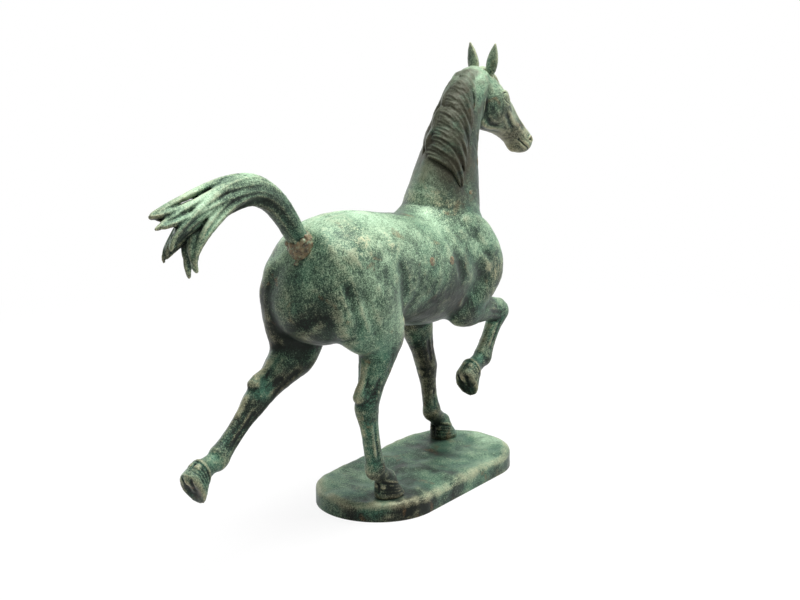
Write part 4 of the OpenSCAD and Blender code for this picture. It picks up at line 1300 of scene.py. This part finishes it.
for name in ("hind_hoof_stud", "fore_hoof_stud", "plate_washers", "plate_nuts"):
    finished(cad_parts[name].data, steel)


# Stage

FLOOR_HALF = 60
FLOOR_WHITE, FLOOR_SHADED = 1.0, 0.88
AMBIENT = 0.10

scene = bpy.context.scene
scene.view_settings.view_transform = "Standard"


def plain_sight():
    """1 for rays from the camera, mirrors and glass, which see the white of the studio"""
    rays = Tone.node("ShaderNodeLightPath").socket.node
    camera, glossy, glass = (
        Tone(rays.outputs[f"Is {kind} Ray"]) for kind in ("Camera", "Glossy", "Transmission"))
    return Tone.sum("MINIMUM", camera + glossy + glass, 1.0)


def white_floor():
    """White to the eye further out, and shaded by the statuette close to it"""
    material, shader, place = start_finish("white_floor")
    feed(shader, base_color=(0.8, 0.8, 0.8, 1), roughness=0.9)
    glow = Tone.node("ShaderNodeEmission", None, {"Color": (1, 1, 1, 1), "Strength": 1.0})
    distance = Tone.node("ShaderNodeVectorMath", {"operation": "LENGTH"}, {0: place}, out="Value")
    white = FLOOR_SHADED + over(distance, 0.25, 0.7) * (FLOOR_WHITE - FLOOR_SHADED)
    shown = Tone.node("ShaderNodeMixShader", None, {
        0: plain_sight() * white, 1: Tone(shader.outputs[0]), 2: glow})
    surface = material.node_tree.nodes["Material Output"].inputs["Surface"]
    material.node_tree.links.new(shown.socket, surface)
    return material


floor_shape = bmesh.new()
bmesh.ops.create_grid(floor_shape, x_segments=1, y_segments=1, size=FLOOR_HALF)
floor = bpy.data.objects.new("floor", baked(floor_shape))
scene.collection.objects.link(floor)
floor.data.materials.append(white_floor())

world = bpy.data.worlds.new("studio")
scene.world = world
world.use_nodes = True
Tone.tree = world.node_tree
sky = world.node_tree.nodes["Background"]
sky.inputs["Color"].default_value = (1, 1, 1, 1)
seen = AMBIENT + plain_sight() * (1 - AMBIENT)
world.node_tree.links.new(seen.socket, sky.inputs["Strength"])


def lamp(name, place, energy):
    """A soft square lamp that faces the statuette"""
    made = bpy.data.objects.new(name, bpy.data.lights.new(name, "AREA"))
    made.data.energy, made.data.size = energy, LAMP_SIZE
    made.location = place
    made.rotation_euler = (MIDDLE - Vector(place)).to_track_quat("-Z", "Y").to_euler()
    scene.collection.objects.link(made)


MIDDLE = Vector((-0.05, 0, 0.15))
LAMP_SIZE = 0.9
lamp("overhead", (0.1, -0.15, 1.2), 32)
lamp("left_wall", (0.1, 1.2, 0.5), 5)
lamp("right_wall", (0.75, -0.95, 0.6), 7)

AZIMUTH, ELEVATION, DISTANCE = math.radians(-55), math.radians(13), 1.0
AIM = Vector((-0.016, 0.003, 0.134))
LENS = 66
out = Vector((
    math.sin(AZIMUTH) * math.cos(ELEVATION), -math.cos(AZIMUTH) * math.cos(ELEVATION), math.sin(ELEVATION)))
camera = bpy.data.objects.new("camera", bpy.data.cameras.new("camera"))
camera.data.lens = LENS
camera.location = AIM + out * DISTANCE
camera.rotation_euler = (-out).to_track_quat("-Z", "Y").to_euler()
scene.collection.objects.link(camera)
scene.camera = camera
